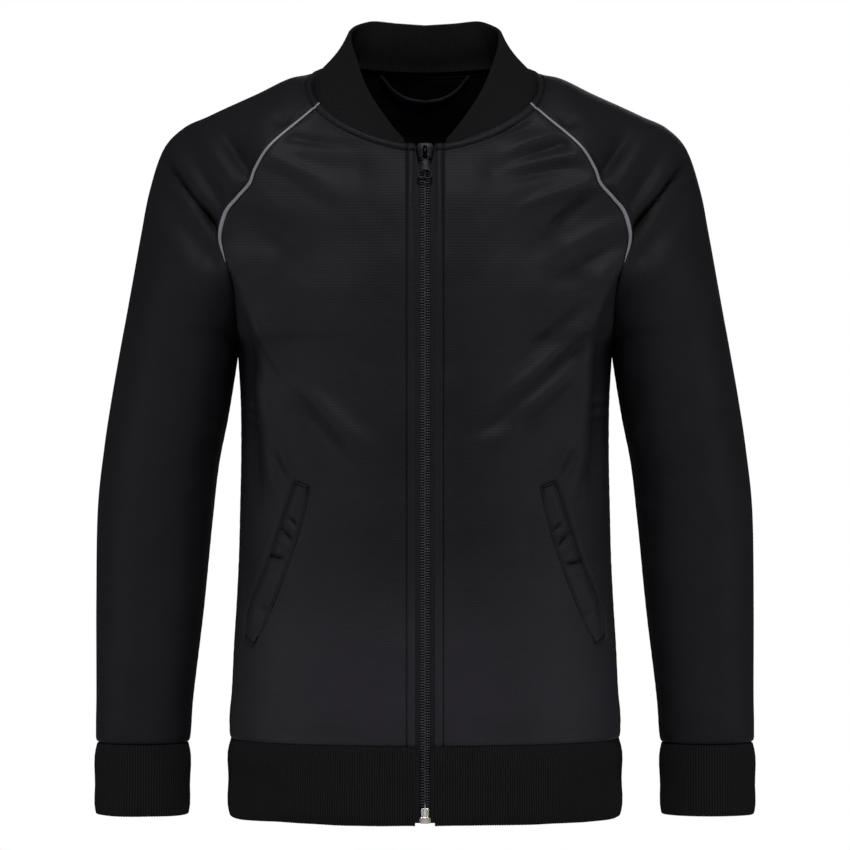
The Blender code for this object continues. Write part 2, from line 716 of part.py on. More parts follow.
def hanger_loop(material):
    """The loop, a cord hung from the back neck seam inside the back panel."""
    inside = SHELL + LAID_GAP + LOOP_RADIUS
    path = [point - inside * out for point, out in
            (panel_point(x, z, False) for x, z in curve(arc_shares(np.array(LOOP)), LOOP)(np.linspace(0, 1, 9)))]
    path = np.concatenate([path, mirrored(np.array(path))[-2::-1]])
    ways = unit(np.gradient(path, axis=0))
    sections = []
    for point, way in zip(path, ways):
        level = unit(np.cross(way, np.array([0.0, 1.0, 0.0])))
        deep = np.cross(way, level)
        sections.append([point + LOOP_RADIUS * (math.cos(turn) * level + math.sin(turn) * deep)
                         for turn in (math.pi * step / 3 for step in range(6))])
    swept("hanger_loop", np.array(sections), material)


# --------------------------------------------------------------------------------------------- zip

def zip_heights(low, top):
    """Heights between the two, with a row wherever the front panels and the hem have one."""
    panel = front_rows(PANEL_HEIGHTS, [0.0])[:, 0, 2]
    heights = sorted({*np.round(panel, 3), *(section[0] for section in HEM_SECTIONS)})
    return [low, *(z for z in heights if low + 1 < z < top - 1), top]


def tape_front_y(z):
    """Depth of the tapes' front face, just behind the cloth that is sewn to them."""
    return front_edge_y(z) + (RIB if z <= HEM_SEAM_Z else SHELL) + LAID_GAP


def zip_tape(name, material, side):
    skin = []
    for z in zip_heights(TAPE_LOW_Z, TAPE_TOP_Z):
        parted = TAPE_SPREAD * np.interp(z, TAPE_SPREAD_Z, (0.0, 1.0))
        skin.append([(x, tape_front_y(z), z) for x in (TAPE_X[0] + parted, TAPE_X[1])])
    skin = np.array(skin)
    normal = np.broadcast_to(np.array([0.0, -1.0, 0.0]), skin.shape)
    wall(name, skin, TAPE_THICK, material, side, normal=normal)


def zip_chain(material):
    sections = []
    for z in zip_heights(CHAIN_LOW_Z, CHAIN_TOP_Z):
        back, front = tape_front_y(z) - LAID_GAP, front_edge_y(z) + CHAIN_FRONT
        sections.append([(-CHAIN_X, back, z), (-CHAIN_X, front + 0.8, z), (-0.6 * CHAIN_X, front, z),
                         (0.6 * CHAIN_X, front, z), (CHAIN_X, front + 0.8, z), (CHAIN_X, back, z)])
    swept("zip_chain", np.array(sections), material)


def zip_fittings(material):
    base = front_edge_y(sum(BOX_Z) / 2)
    depths = [base + depth for depth in FITTINGS_Y]
    for name, half_width, (low, high) in (("zip_pins", PINS_X, PINS_Z), ("zip_box", BOX_X, BOX_Z)):
        points, faces = prism(box_outline(half_width, low, high), depths)
        obj = add_object(name, points, faces, material)
        bevel = obj.modifiers.new("rounded edges", "BEVEL")
        bevel.width = 0.5 * MM
        bevel.segments = 1


def zip_lean():
    """How far the zip leans forward as it goes down from the slider, about X."""
    fall = front_edge_y(HINGE_Z + 5) - front_edge_y(HINGE_Z - 10)
    return -math.atan2(fall, 15.0)


def seat_on_zip(obj):
    obj.location = (0.0, 0.0, 0.0)
    lean = zip_lean()
    skin = np.array([0.0, front_edge_y(HINGE_Z), HINGE_Z])
    hinge = skin + HINGE_Y * np.array([0.0, math.cos(lean), math.sin(lean)])
    obj.location = tuple(hinge * MM)
    obj.rotation_euler = (lean, 0.0, 0.0)


def zip_slider(material):
    foot, head = SLIDER_Z
    low, high = SLIDER_X
    right = [(low, foot), (high, head - 4.0), (high - 2.0, head)]
    plate = right + [(-x, z) for x, z in right[::-1]]
    front = [depth - HINGE_Y for depth in PLATE_Y]
    back = [depth - HINGE_Y for depth in BACK_PLATE_Y]
    body = add_object("zip_slider", *prism(plate, front), material)
    back_plate = add_object("slider_back", *prism(plate, back), material)
    between = (front[1] - UNION_DEPTH, back[0] + UNION_DEPTH)
    post = add_object("slider_post", *prism(box_outline(POST_X, *POST_Z), between), material)
    sunk = front[0] + UNION_DEPTH
    arch = [(BRIDGE_OUTSIDE[0][0], sunk), *BRIDGE_OUTSIDE, (BRIDGE_OUTSIDE[-1][0], sunk),
            (BRIDGE_INSIDE[0][0], sunk), *BRIDGE_INSIDE, (BRIDGE_INSIDE[-1][0], sunk)]
    points, faces = prism([(y, z) for z, y in arch], (-BRIDGE_X, BRIDGE_X))
    bridge = add_object("slider_bridge", points[:, [1, 0, 2]], faces, material)
    for piece in (back_plate, post, bridge):
        combine(body, piece, "UNION")
    seat_on_zip(body)


def zip_pull(material):
    """The pull tab: an eye round the slider's bridge, a neck that widens, and an oval ring."""
    depths = (-TAB_THICK / 2, TAB_THICK / 2)
    shoulder = TAB_SIDE[-1][1] - UNION_DEPTH
    ring = [(x, z) for x, z in oval(*TAB_RING, TAB_RING_Z, 28) if z < shoulder]
    ring.sort(key=lambda spot: math.atan2(spot[0], spot[1] - TAB_RING_Z) % (2 * math.pi))
    side = list(TAB_SIDE)
    tab = add_object("zip_pull", *prism(side + ring + [(-x, z) for x, z in side[::-1]], depths), material)
    deep = (-TAB_THICK, TAB_THICK)
    slot = add_object("pull_slot", *prism(box_outline(TAB_SLOT[0], -TAB_SLOT[1], -TAB_THICK / 2), deep), material)
    hole = add_object("pull_hole", *prism(oval(*TAB_RING_HOLE, TAB_RING_Z, 20), deep), material)
    combine(tab, slot, "DIFFERENCE")
    combine(tab, hole, "DIFFERENCE")
    seat_on_zip(tab)


# ------------------------------------------------------------------------------------------- jacket

for old in list(bpy.data.objects):
    bpy.data.objects.remove(old, do_unlink=True)

shell_cloth = finish("shell_tricot", (0.018, 0.017, 0.019), 0.7)
sleeve_cloth = finish("sleeve_tricot", (0.012, 0.012, 0.013), 0.7)
rib_cloth = finish("rib_knit", (0.008, 0.008, 0.008), 0.9)
piping_cloth = finish("piping", (0.14, 0.135, 0.15), 0.6)
tape_cloth = finish("zip_tape", (0.011, 0.011, 0.013), 0.8)
dark_teeth = finish("zip_teeth", (0.02, 0.02, 0.022), 0.35)
dark_metal = finish("black_nickel", (0.03, 0.03, 0.035), 0.3, 1.0)
bright_metal = finish("nickel", (0.6, 0.6, 0.6), 0.25, 1.0)

back_panel(shell_cloth)
for word, way in (("left", 1), ("right", -1)):
    front_panel(f"front_{word}", shell_cloth, way)
    sleeve(f"sleeve_{word}", sleeve_cloth, way)
    cuff(f"cuff_{word}", rib_cloth, way)
    welt(f"welt_{word}", shell_cloth, way)
    piping(f"piping_{word}", piping_cloth, way)
    zip_tape(f"zip_tape_{word}", tape_cloth, way)
collar(rib_cloth)
hem_rib(rib_cloth)
hanger_loop(tape_cloth)
zip_chain(dark_teeth)
zip_fittings(bright_metal)
zip_slider(dark_metal)
zip_pull(dark_metal)
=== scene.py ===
"""Looks of the men's track jacket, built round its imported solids.

The jacket is filled out as on a wearer, with nobody in it. Tables hold millimetres: +X is the
wearer's left, the front faces -Y and +Z is up. Each panel's form is worked out for the left and
mirrored; creases are laid on each side by itself. The pieces follow in the order of their making.
"""

import math

import bmesh
import bpy
import numpy as np
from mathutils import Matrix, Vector
from mathutils.bvhtree import BVHTree
from mathutils.kdtree import KDTree


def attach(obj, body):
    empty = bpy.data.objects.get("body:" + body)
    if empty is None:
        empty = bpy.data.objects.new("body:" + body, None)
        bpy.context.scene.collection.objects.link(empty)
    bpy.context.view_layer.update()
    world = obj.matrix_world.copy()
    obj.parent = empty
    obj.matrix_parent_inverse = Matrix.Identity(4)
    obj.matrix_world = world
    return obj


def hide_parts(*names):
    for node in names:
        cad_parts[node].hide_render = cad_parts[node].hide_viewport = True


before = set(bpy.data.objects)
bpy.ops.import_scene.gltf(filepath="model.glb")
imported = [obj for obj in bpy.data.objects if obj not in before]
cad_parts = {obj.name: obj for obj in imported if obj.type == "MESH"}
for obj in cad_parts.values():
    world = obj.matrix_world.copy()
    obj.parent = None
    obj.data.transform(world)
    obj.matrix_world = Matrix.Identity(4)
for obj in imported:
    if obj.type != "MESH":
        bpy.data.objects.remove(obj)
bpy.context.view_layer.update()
MM = 0.001


# ------------------------------------------------------------------------------------- raglan sleeves
# Two raglan sleeves of polyester tricot, each cut in one piece and sewn to a tube along the underarm.
# They run up to the neck, so the shoulder has no seam of its own.

SHELL = 1.4            # thickness of the tricot, its brushed back included
UNDERARM = 11          # the station whose ring closes; station 0 is the neck
CUFF_Y = -13.0
SIDES = (("left", 1), ("right", -1))   # the wearer's; the right is the left one mirrored

# The neck seam over the shoulder, from the front raglan seam to the back one.
NECK_SIDE = (
    # x, y, z
    (93.2, -56, -37.7),
    (99.3, -33, -26.4),
    (98.8, -8, -11.4),
    (93.4, 13, -2.5),
    (83, 35, 3),
    (64, 53, 5),
)

# Sleeve rings, from the shoulder to the cuff seam. Seen from the front a ring is a straight line,
# from the sleeve's outline to the front raglan seam or, below the underarm, to its inner edge. Turns
# are the degrees from the outline round to the front and back seams.
SLEEVE_RINGS = (
    # out_x, out_z, in_x, in_z, front_turn, back_turn, mid_y, deep_front, deep_back
    (120, -10.5, 107.6, -50.4, 60, 60, 4, 79, 68),
    (150.8, -25.2, 136.3, -76.1, 66, 66, 3, 91, 84),
    (178.7, -37.8, 149.4, -96.6, 72, 70, 2, 89, 92),
    (196, -46, 154.5, -110, 75, 72, 1, 87, 94),
    (217, -56, 165.5, -122.5, 78, 75, 0, 83, 95),
    (235.4, -75.6, 176, -135.7, 81, 78, 0, 79, 95),
    (247.9, -113.4, 180.9, -156.3, 86, 84, 0, 78, 93),
    (255.2, -151, 177, -176, 97, 97, 0, 80, 90),
    (262, -189, 169.5, -201, 122, 122, 0, 79, 85),
    (268.8, -227, 167, -235, 152, 152, 0, 76, 80),
    (273.3, -251, 168, -257, 180, 180, 0, 74, 77),
    (282, -300, 177, -314, 180, 180, 1, 71, 73),
    (288.8, -345, 185.6, -358, 180, 180, 2, 67, 68),
    (294.6, -400, 191.6, -410, 180, 180, 2, 62, 63),
    (295.6, -481, 199, -487, 180, 180, -2, 55, 56),
    (295, -562, 208, -565, 180, 180, -9, 47, 48),
    (295.2, -594, 210, -594, 180, 180, -12, 42, 42),
    (293.5, -607.7, 212.4, -607.7, 180, 180, CUFF_Y, 37, 37),
)

# The largest folds, as seen from the front (or, for the back, through it). Height is outward.
FRONT_FOLDS = (
    # x, z, to_x, to_z, width, height
    (243, -84, 186, -150, 15, 4.5),
    (240, -112, 190, -172, 13, -6.5),
    (172, -190, 146, -250, 15, 6),
    (148, -255, 142, -340, 20, 4),
    (110, -92, 60, -100, 12, -3.5),
    (165, -210, 120, -160, 14, -3.5),
)
BACK_FOLDS = (
    # x, z, to_x, to_z, width, height
    (170, -200, 130, -140, 16, -5),
    (172, -225, 120, -215, 14, 4),
    (150, -260, 138, -390, 22, 4),
)
FOLD_DEPTH = (25.0, 60.0)   # folds start this far from the middle of the depth, and are full here

# Creases of the front as seen from the front, each a ridge or, with a height below 0, a trough. Bow is
# how far its middle lies off the straight line, and lean makes one flank gentle and the other steep. It
# fades slowly at its first end and sooner at its second, which lies towards a seam.
SLEEVE_CREASES = (
    # x, z, to_x, to_z, bow, width, height, lean
    (252, -66, 172, -175, 0, 6, -10, 0.25),
    (212, -112, 168, -176, -2, 8, -5, 0.3),
    (234, -76, 188, -148, -1, 5, 2.6, 0),
    (220, -66, 160, -158, -1, 6.5, -4.6, 0),
    (206, -48, 156, -136, -1, 8, 3.6, -0.1),
    (188, -50, 144, -118, -2, 9, -6.5, 0.4),
    (141, -52, 115, -60, 1, 6, -2.4, 0.1),
    (256, -158, 176, -206, 3, 16, 1.4, 0.2),
    (193, -322, 187, -346, 1, 4, 1.8, 0.1),
    (200, -386, 190, -412, 1, 4.5, 1.7, 0.1),
    (262, -318, 202, -366, 4, 16, 1.3, 0.1),
    (278, -436, 212, -472, 4, 18, -1.2, 0.1),
    (270, -578, 222, -588, 2, 7, 1.2, 0.1),
)
# The right sleeve has the left one's creases, shifted inward and up and a little lower. A sleeve's back
# has those of the other sleeve's front, shifted again and softer.
RIGHT_SHIFT = (-1.0, 1.5)
RIGHT_HEIGHT = 0.9
BACK_SHIFT = (-4.0, 6.0)
BACK_HEIGHT = 0.6
CREASE_ENDS = (0.5, 0.35)      # the shares of a crease's length in which it fades at its two ends
CALM = 9.0                     # creases and soft waves are at full height this far from a seam
SLEEVE_DEEP = 9.0              # a crease of the sleeve this deep gets nearly black painted shade inside
SLEEVE_ROLLS = (0.8, 0.8, 1.6, 0.9)    # how far its left, right, low and top edge turn in
SLEEVE_WAVES = 0.3             # height of the soft waves in the cloth
SLEEVE_GRID = (205, 124)       # rows and columns between the ones that lie close to the seams


def curve(knots, values):
    """Smooth curve through the rows of a table. Each slope comes from the row's neighbours."""
    knots = np.asarray(knots, float)
    values = np.asarray(values, float)
    slopes = np.gradient(values, knots, axis=0)

    def at(place):
        place = np.clip(np.asarray(place, float), knots[0], knots[-1])
        left = np.clip(np.searchsorted(knots, place, side="right") - 1, 0, len(knots) - 2)
        step = knots[left + 1] - knots[left]
        u = (place - knots[left]) / step
        if values.ndim > 1:
            u, step = u[..., None], step[..., None]
        return ((1 + 2 * u) * (1 - u) ** 2 * values[left] + u * (1 - u) ** 2 * step * slopes[left]
                + u * u * (3 - 2 * u) * values[left + 1] + u * u * (u - 1) * step * slopes[left + 1])

    return at


def table_curve(table):
    """A table's columns as curves of its first column."""
    rows = np.array(table, float)
    return curve(rows[:, 0], rows[:, 1:])


def travelled(points):
    """Distance along a row of points up to each one."""
    steps = np.linalg.norm(np.diff(points, axis=0), axis=1)
    return np.concatenate([[0.0], np.cumsum(steps)])


def arc_shares(points):
    distances = travelled(points)
    return distances / distances[-1]


def unit(vectors):
    return vectors / np.maximum(np.linalg.norm(vectors, axis=-1, keepdims=True), 1e-9)


def mirrored(points, side=-1):
    """The left side's points mirrored for the right side (-1), or as they are for the left one (1)."""
    return points * np.array([side, 1.0, 1.0])


neck_side_at = curve(arc_shares(np.array(NECK_SIDE)), NECK_SIDE)


def folded(points):
    """Points of the plain form with the folds laid on them, forward at the front, rearward behind."""
    shaped = points.copy()
    for table, way in ((FRONT_FOLDS, -1.0), (BACK_FOLDS, 1.0)):
        share = np.clip((way * points[..., 1] - FOLD_DEPTH[0]) / (FOLD_DEPTH[1] - FOLD_DEPTH[0]), 0, 1)
        for x, z, to_x, to_z, width, height in table:
            length = math.hypot(to_x - x, to_z - z)
            way_x, way_z = (to_x - x) / length, (to_z - z) / length
            along = (points[..., 0] - x) * way_x + (points[..., 2] - z) * way_z
            beside = (points[..., 0] - x) * way_z - (points[..., 2] - z) * way_x
            beyond = np.maximum(np.maximum(-along, along - length), 0)
            lift = height * np.exp(-(beside ** 2 + beyond ** 2) / width ** 2)
            shaped[..., 1] += way * share * lift
    return shaped


def ring_points(ring, across):
    """Points round one sleeve ring, from its front seam (0) over the outline to its back seam (1)."""
    out_x, out_z, in_x, in_z, front_turn, back_turn, mid_y, deep_front, deep_back = ring
    front_turn, back_turn = math.radians(front_turn), math.radians(back_turn)
    turn = -front_turn + (front_turn + back_turn) * across
    reach = np.array([out_x - in_x, 0.0, out_z - in_z]) / (1 - math.cos(front_turn))
    points = np.array([out_x, mid_y, out_z]) - reach + np.cos(turn)[:, None] * reach
    points[:, 1] += np.where(turn < 0, deep_front, deep_back) * np.sin(turn)
    return points


def plain_sleeve(stations, across):
    """Rows of the sleeve, one for each station, on smooth curves through the rings."""
    across = np.asarray(across, float)
    rings = [neck_side_at(across)] + [ring_points(ring, across) for ring in SLEEVE_RINGS]
    lengthwise = curve(np.arange(len(rings)), np.array(rings).reshape(len(rings), -1))
    return lengthwise(np.asarray(stations, float)).reshape(len(stations), len(across), 3)


def sleeve_rows(stations, across):
    return folded(plain_sleeve(stations, across))


CLOSE = np.array([0.0, 0.5, 1.0, 1.6, 2.4, 3.6, 5.2])     # points this close together at a seam
NECK_CLOSE = np.arange(0.0, 16.0, 0.7)                    # and these up to the stitching round the neck
FINE = np.linspace(0, 1, 481)


def graded(length, near, count, far, lean=0.0):
    """Distances from 0 to length, close together at both ends. Lean makes the steps grow on the way."""
    share = np.linspace(0, 1, count)
    share = share * (1 - lean) + lean * share ** 2
    start, end = near[-1], length - far[-1]
    return np.concatenate([near[:-1], start + (end - start) * share, length - far[-2::-1]])


def graded_stations(surface, stations, columns, near, count, far, lean=0.0):
    """Stations whose rows lie at graded distances, measured along a few columns."""
    steps = np.linalg.norm(np.diff(surface(stations, columns), axis=0), axis=2).mean(axis=1)
    distances = np.concatenate([[0.0], np.cumsum(steps)])
    return np.interp(graded(distances[-1], near, count, far, lean), distances, stations)


def laid(rows, near, count, far, lean=0.0):
    """Rows with their points at graded distances, and each point's distance from its row's start."""
    skin, across = [], []
    for row in rows:
        distances = travelled(row)
        at = graded(distances[-1], near, count, far, lean)
        skin.append(np.stack([np.interp(at, distances, row[:, axis]) for axis in range(3)], axis=1))
        across.append(at)
    return np.array(skin), np.array(across)


def grid_outward(skin):
    """Outward directions of a grid whose columns run anticlockwise and whose rows rise."""
    return unit(np.cross(np.gradient(skin, axis=1), np.gradient(skin, axis=0)))


def smooth_step(share):
    share = np.clip(share, 0, 1)
    return share * share * (3 - 2 * share)


def crease_lift(skin, out, creases, way=-1.0, reach=CALM):
    """Height that creases add to a surface. Way is -1 for creases of the front and 1 for the back's."""
    lift = np.zeros(skin.shape[:2])
    for x, z, to_x, to_z, bow, width, height, lean in creases:
        length = math.hypot(to_x - x, to_z - z)
        way_x, way_z = (to_x - x) / length, (to_z - z) / length
        along = ((skin[..., 0] - x) * way_x + (skin[..., 2] - z) * way_z) / length
        beside = (skin[..., 0] - x) * way_z - (skin[..., 2] - z) * way_x
        beside = beside - 4 * bow * along * (1 - along)
        spread = width * np.where(beside > 0, 1 + lean, 1 - lean) * (0.85 + 0.3 * along)
        ends = smooth_step(along / CREASE_ENDS[0]) * smooth_step((1 - along) / CREASE_ENDS[1])
        lift += height * ends * np.exp(-(beside / spread) ** 2)
    # A crease is laid on the side that faces its own way, and fades where the cloth turns to the side.
    return lift * smooth_step(way * out[..., 1] / 0.45) * calm(skin, reach)


def deep_shade(lift, depth):
    """How much painted shade darkens a crease inside, nearly black from the given depth on."""
    return 0.9 * np.clip(-lift / depth, 0, 1) ** 2


def calm(skin, reach=CALM):
    """Nothing at a piece's sewn edges and 1 further in than the reach, so that seams stay closed."""
    return smooth_step(np.minimum.reduce(edge_gaps(skin)) / reach)


def drape(skin, height, seed=7):
    """Slight unevenness of cloth that hangs free: a sum of soft waves, the long ones highest.

    It fades where the cloth turns to the side, so the outline stays smooth.
    """
    chance = np.random.default_rng(seed)
    lift = np.zeros(skin.shape[:2])
    for size in (120.0, 84.0, 56.0, 37.0, 25.0):
        for _ in range(3):
            way = unit(chance.normal(size=3))
            lift += size / 120.0 * np.sin(skin @ way * 2 * math.pi / size + chance.uniform(0, 6.28))
    return height * lift * smooth_step(abs(grid_outward(skin)[..., 1]) / 0.6)


def ripple(place):
    """Uneven small waves along a seam."""
    return (np.sin(place * 0.74 + 1.7 * np.sin(place * 0.103)) * (0.6 + 0.4 * np.sin(place * 0.17))
            + 0.5 * np.sin(place * 0.41 + 2.0))


def edge_gaps(skin):
    """Distance of each point from the panel's left, right, low and top edge, along its row or column."""
    across = np.linalg.norm(np.diff(skin, axis=1), axis=2).cumsum(axis=1)
    across = np.concatenate([np.zeros((len(skin), 1)), across], axis=1)
    up = np.linalg.norm(np.diff(skin, axis=0), axis=2).cumsum(axis=0)
    up = np.concatenate([np.zeros((1, skin.shape[1])), up], axis=0)
    return across, across[:, -1:] - across, up, up[-1:] - up


ROLL_REACH = 1.5               # the cloth turns in over this much at a sewn edge
PUFF = (0.45, 5.5, 4.0)        # behind it puffs up: its height in rolls, its distance and its half width
PUCKER = (0.16, 8.0)           # and is puckered by the seam: height in rolls, and how far that reaches
UNDERARM_CALM = (-224.0, 26.0)     # where the seams meet under the arm: height and reach


def seam_lift(skin, rolls):
    """How the cloth turns in at its sewn edges, and puffs and puckers beside them."""
    left, right, low, top = edge_gaps(skin)
    lift = np.zeros(skin.shape[:2])
    # Under the arm the pieces face away from each other, so they hardly roll in.
    flat = 1 - 0.9 * np.exp(-((skin[..., 2] - UNDERARM_CALM[0]) / UNDERARM_CALM[1]) ** 2)
    for gap, roll, place in ((left, rolls[0], low), (right, rolls[1], low),
                             (low, rolls[2], left), (top, rolls[3], left)):
        lift -= roll * flat * np.exp(-(gap / ROLL_REACH) ** 2)
        lift += PUFF[0] * roll * np.exp(-((gap - PUFF[1]) / PUFF[2]) ** 2)
        lift += PUCKER[0] * roll * np.exp(-(gap / PUCKER[1]) ** 2) * ripple(place)
    return lift


STITCH_GAP = 6.8               # the stitching lies this far outside the neck seam
STITCH_DEEP = 1.5              # the trough that it pulls
ALLOWANCE_HIGH = 0.9           # the seam allowance under the cloth beside it


def stitch_lift(gap, at=STITCH_GAP):
    """The trough that a line of stitches pulls, and the seam allowance that fills the cloth beside it."""
    return (ALLOWANCE_HIGH * np.exp(-((gap - at / 2) / (0.36 * at)) ** 2)
            - STITCH_DEEP * np.exp(-((gap - at) / 0.9) ** 2))


def finder(points):
    """A tree that finds the nearest of some points."""
    tree = KDTree(len(points))
    for order, point in enumerate(points):
        tree.insert(point, order)
    tree.balance()
    return tree


def gap_to(line, skin):
    """Distance of each point of a grid from a line of points."""
    tree = finder(line)
    gaps = [tree.find(point)[2] for point in skin.reshape(-1, 3)]
    return np.array(gaps).reshape(skin.shape[:-1])


def quads(ids):
    return np.stack([ids[:-1, :-1], ids[:-1, 1:], ids[1:, 1:], ids[1:, :-1]], axis=-1).reshape(-1, 4)


def linked(name, data):
    """An object of a mesh, a light or the like, put in the scene at the origin."""
    piece = bpy.data.objects.new(name, data)
    bpy.context.scene.collection.objects.link(piece)
    return piece


def closed_piece(name, points, faces, materials, kinds=None, uv=None, sharp=55.0, merge=False):
    """A closed piece from points in millimetres. Uv holds one place in metres for each face corner."""
    mesh = bpy.data.meshes.new(name)
    mesh.from_pydata((points * MM).tolist(), [], faces)
    for material in materials:
        mesh.materials.append(material)
    if kinds is not None:
        mesh.polygons.foreach_set("material_index", kinds)
    if uv is not None:
        mesh.uv_layers.new(name="cloth").data.foreach_set("uv", uv.reshape(-1))
    model = bmesh.new()
    model.from_mesh(mesh)
    if merge:
        bmesh.ops.remove_doubles(model, verts=model.verts, dist=0.001 * MM)
    bmesh.ops.recalc_face_normals(model, faces=model.faces)
    model.to_mesh(mesh)
    model.free()
    mesh.shade_smooth()
    mesh.set_sharp_from_angle(angle=math.radians(sharp))
    return linked(name, mesh)


def solid(name, points, faces, materials, side=1, **settings):
    """A closed piece of a grid's quads, on its side of the jacket, without the points that none uses."""
    used, faces = np.unique(faces, return_inverse=True)
    faces = faces.reshape(-1, 4).tolist()
    return closed_piece(name, mirrored(points, side)[used], faces, materials, **settings)


def cloth(name, skin, out, thick, uv, materials, side=1, joined=None, shade=None):
    """A cloth wall: its outer face, its inner face one thickness inside, and the edges between.

    In the rows marked as joined, the last column is the first one again, as round a tube. The shade
    goes to the outer face, for its material.
    """
    rows, columns = skin.shape[:2]
    count = rows * columns
    plain = np.arange(count).reshape(rows, columns)
    shared = plain.copy()
    joined = np.zeros(rows, bool) if joined is None else joined
    shared[joined, -1] = shared[joined, 0]
    faces = [quads(shared), quads(shared + count)]
    spots = [quads(plain), quads(plain)]
    kinds = [np.zeros(len(faces[0]), int), np.ones(len(faces[1]), int)]
    both_joined = joined[:-1] & joined[1:]
    for ids, open_part in ((np.s_[0, :], None), (np.s_[-1, :], None),
                           (np.s_[:, 0], ~both_joined), (np.s_[:, -1], ~both_joined)):
        strip = quads(np.array([shared[ids], shared[ids] + count]))
        spot = quads(np.array([plain[ids], plain[ids]]))
        if open_part is not None:
            strip, spot = strip[open_part], spot[open_part]
        faces.append(strip)
        spots.append(spot)
        kinds.append(np.zeros(len(strip), int))
    points = np.concatenate([skin.reshape(-1, 3), (skin - thick * out).reshape(-1, 3)])
    piece = solid(name, points, np.concatenate(faces), materials, side, kinds=np.concatenate(kinds),
                  uv=uv.reshape(-1, 2)[np.concatenate(spots)])
    shade = np.zeros((rows, columns)) if shade is None else shade
    values = np.concatenate([shade.reshape(-1), np.zeros(count)])[np.unique(np.concatenate(faces))]
    piece.data.attributes.new("shade", "FLOAT", "POINT").data.foreach_set("value", values)
    return piece


def dress(piece, slot, *nodes, body="jacket"):
    """Tie a finished piece to its body and hide the solids that it stands for. Slot is not used."""
    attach(piece, body)
    if nodes:
        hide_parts(*nodes)
    return piece


def linear(colour):
    """A hex sRGB colour as the linear values that a shader takes."""
    parts = [int(colour[place:place + 2], 16) / 255 for place in (1, 3, 5)]
    return (*(part / 12.92 if part <= 0.04045 else ((part + 0.055) / 1.055) ** 2.4 for part in parts), 1.0)


def fill(tree, made, inputs):
    """Give a node its inputs: values, sockets to link, or nodes whose first live output is linked."""
    for key, value in inputs.items():
        if isinstance(value, bpy.types.Node):
            value = next(output for output in value.outputs if output.enabled)
        if isinstance(value, bpy.types.NodeSocket):
            tree.links.new(value, made.inputs[key])
        else:
            made.inputs[key].default_value = value
    return made


def node(tree, kind, inputs=None, **settings):
    """Add a node with its settings, values and links."""
    made = tree.nodes.new(kind)
    for key, value in settings.items():
        setattr(made, key, value)
    return fill(tree, made, inputs or {})


def new_material(name):
    """A material, its tree and its shader."""
    material = bpy.data.materials.new(name)
    material.use_nodes = True
    return material, material.node_tree, material.node_tree.nodes["Principled BSDF"]


def stripes(tree, place, pitch):
    """A wave from -1 to 1 along a place in metres, which repeats at a pitch in millimetres."""
    turns = node(tree, "ShaderNodeMath", {0: place, 1: 2 * math.pi / (pitch * MM)}, operation="MULTIPLY")
    return node(tree, "ShaderNodeMath", {0: turns}, operation="SINE")


# The real knit has about three times as many courses and wales, too fine to show, so both are drawn
# coarser than they are.
COURSE_PITCH = 2.6
WALE_PITCH = 1.6
# Painted light and shade: the cloth is painted darker beside the zip and lighter low down, for how the light
# falls on the front.
ZIP_PAINTED_SHADE_REACH = (0.025, 0.085)      # metres from the middle where the painted shade begins to end and ends
LOW_PAINTED_LIGHT_HEIGHTS = (-0.42, -0.54)      # heights in metres where the painted light begins and is full
LOW_PAINTED_LIGHT_GAIN = 1.9


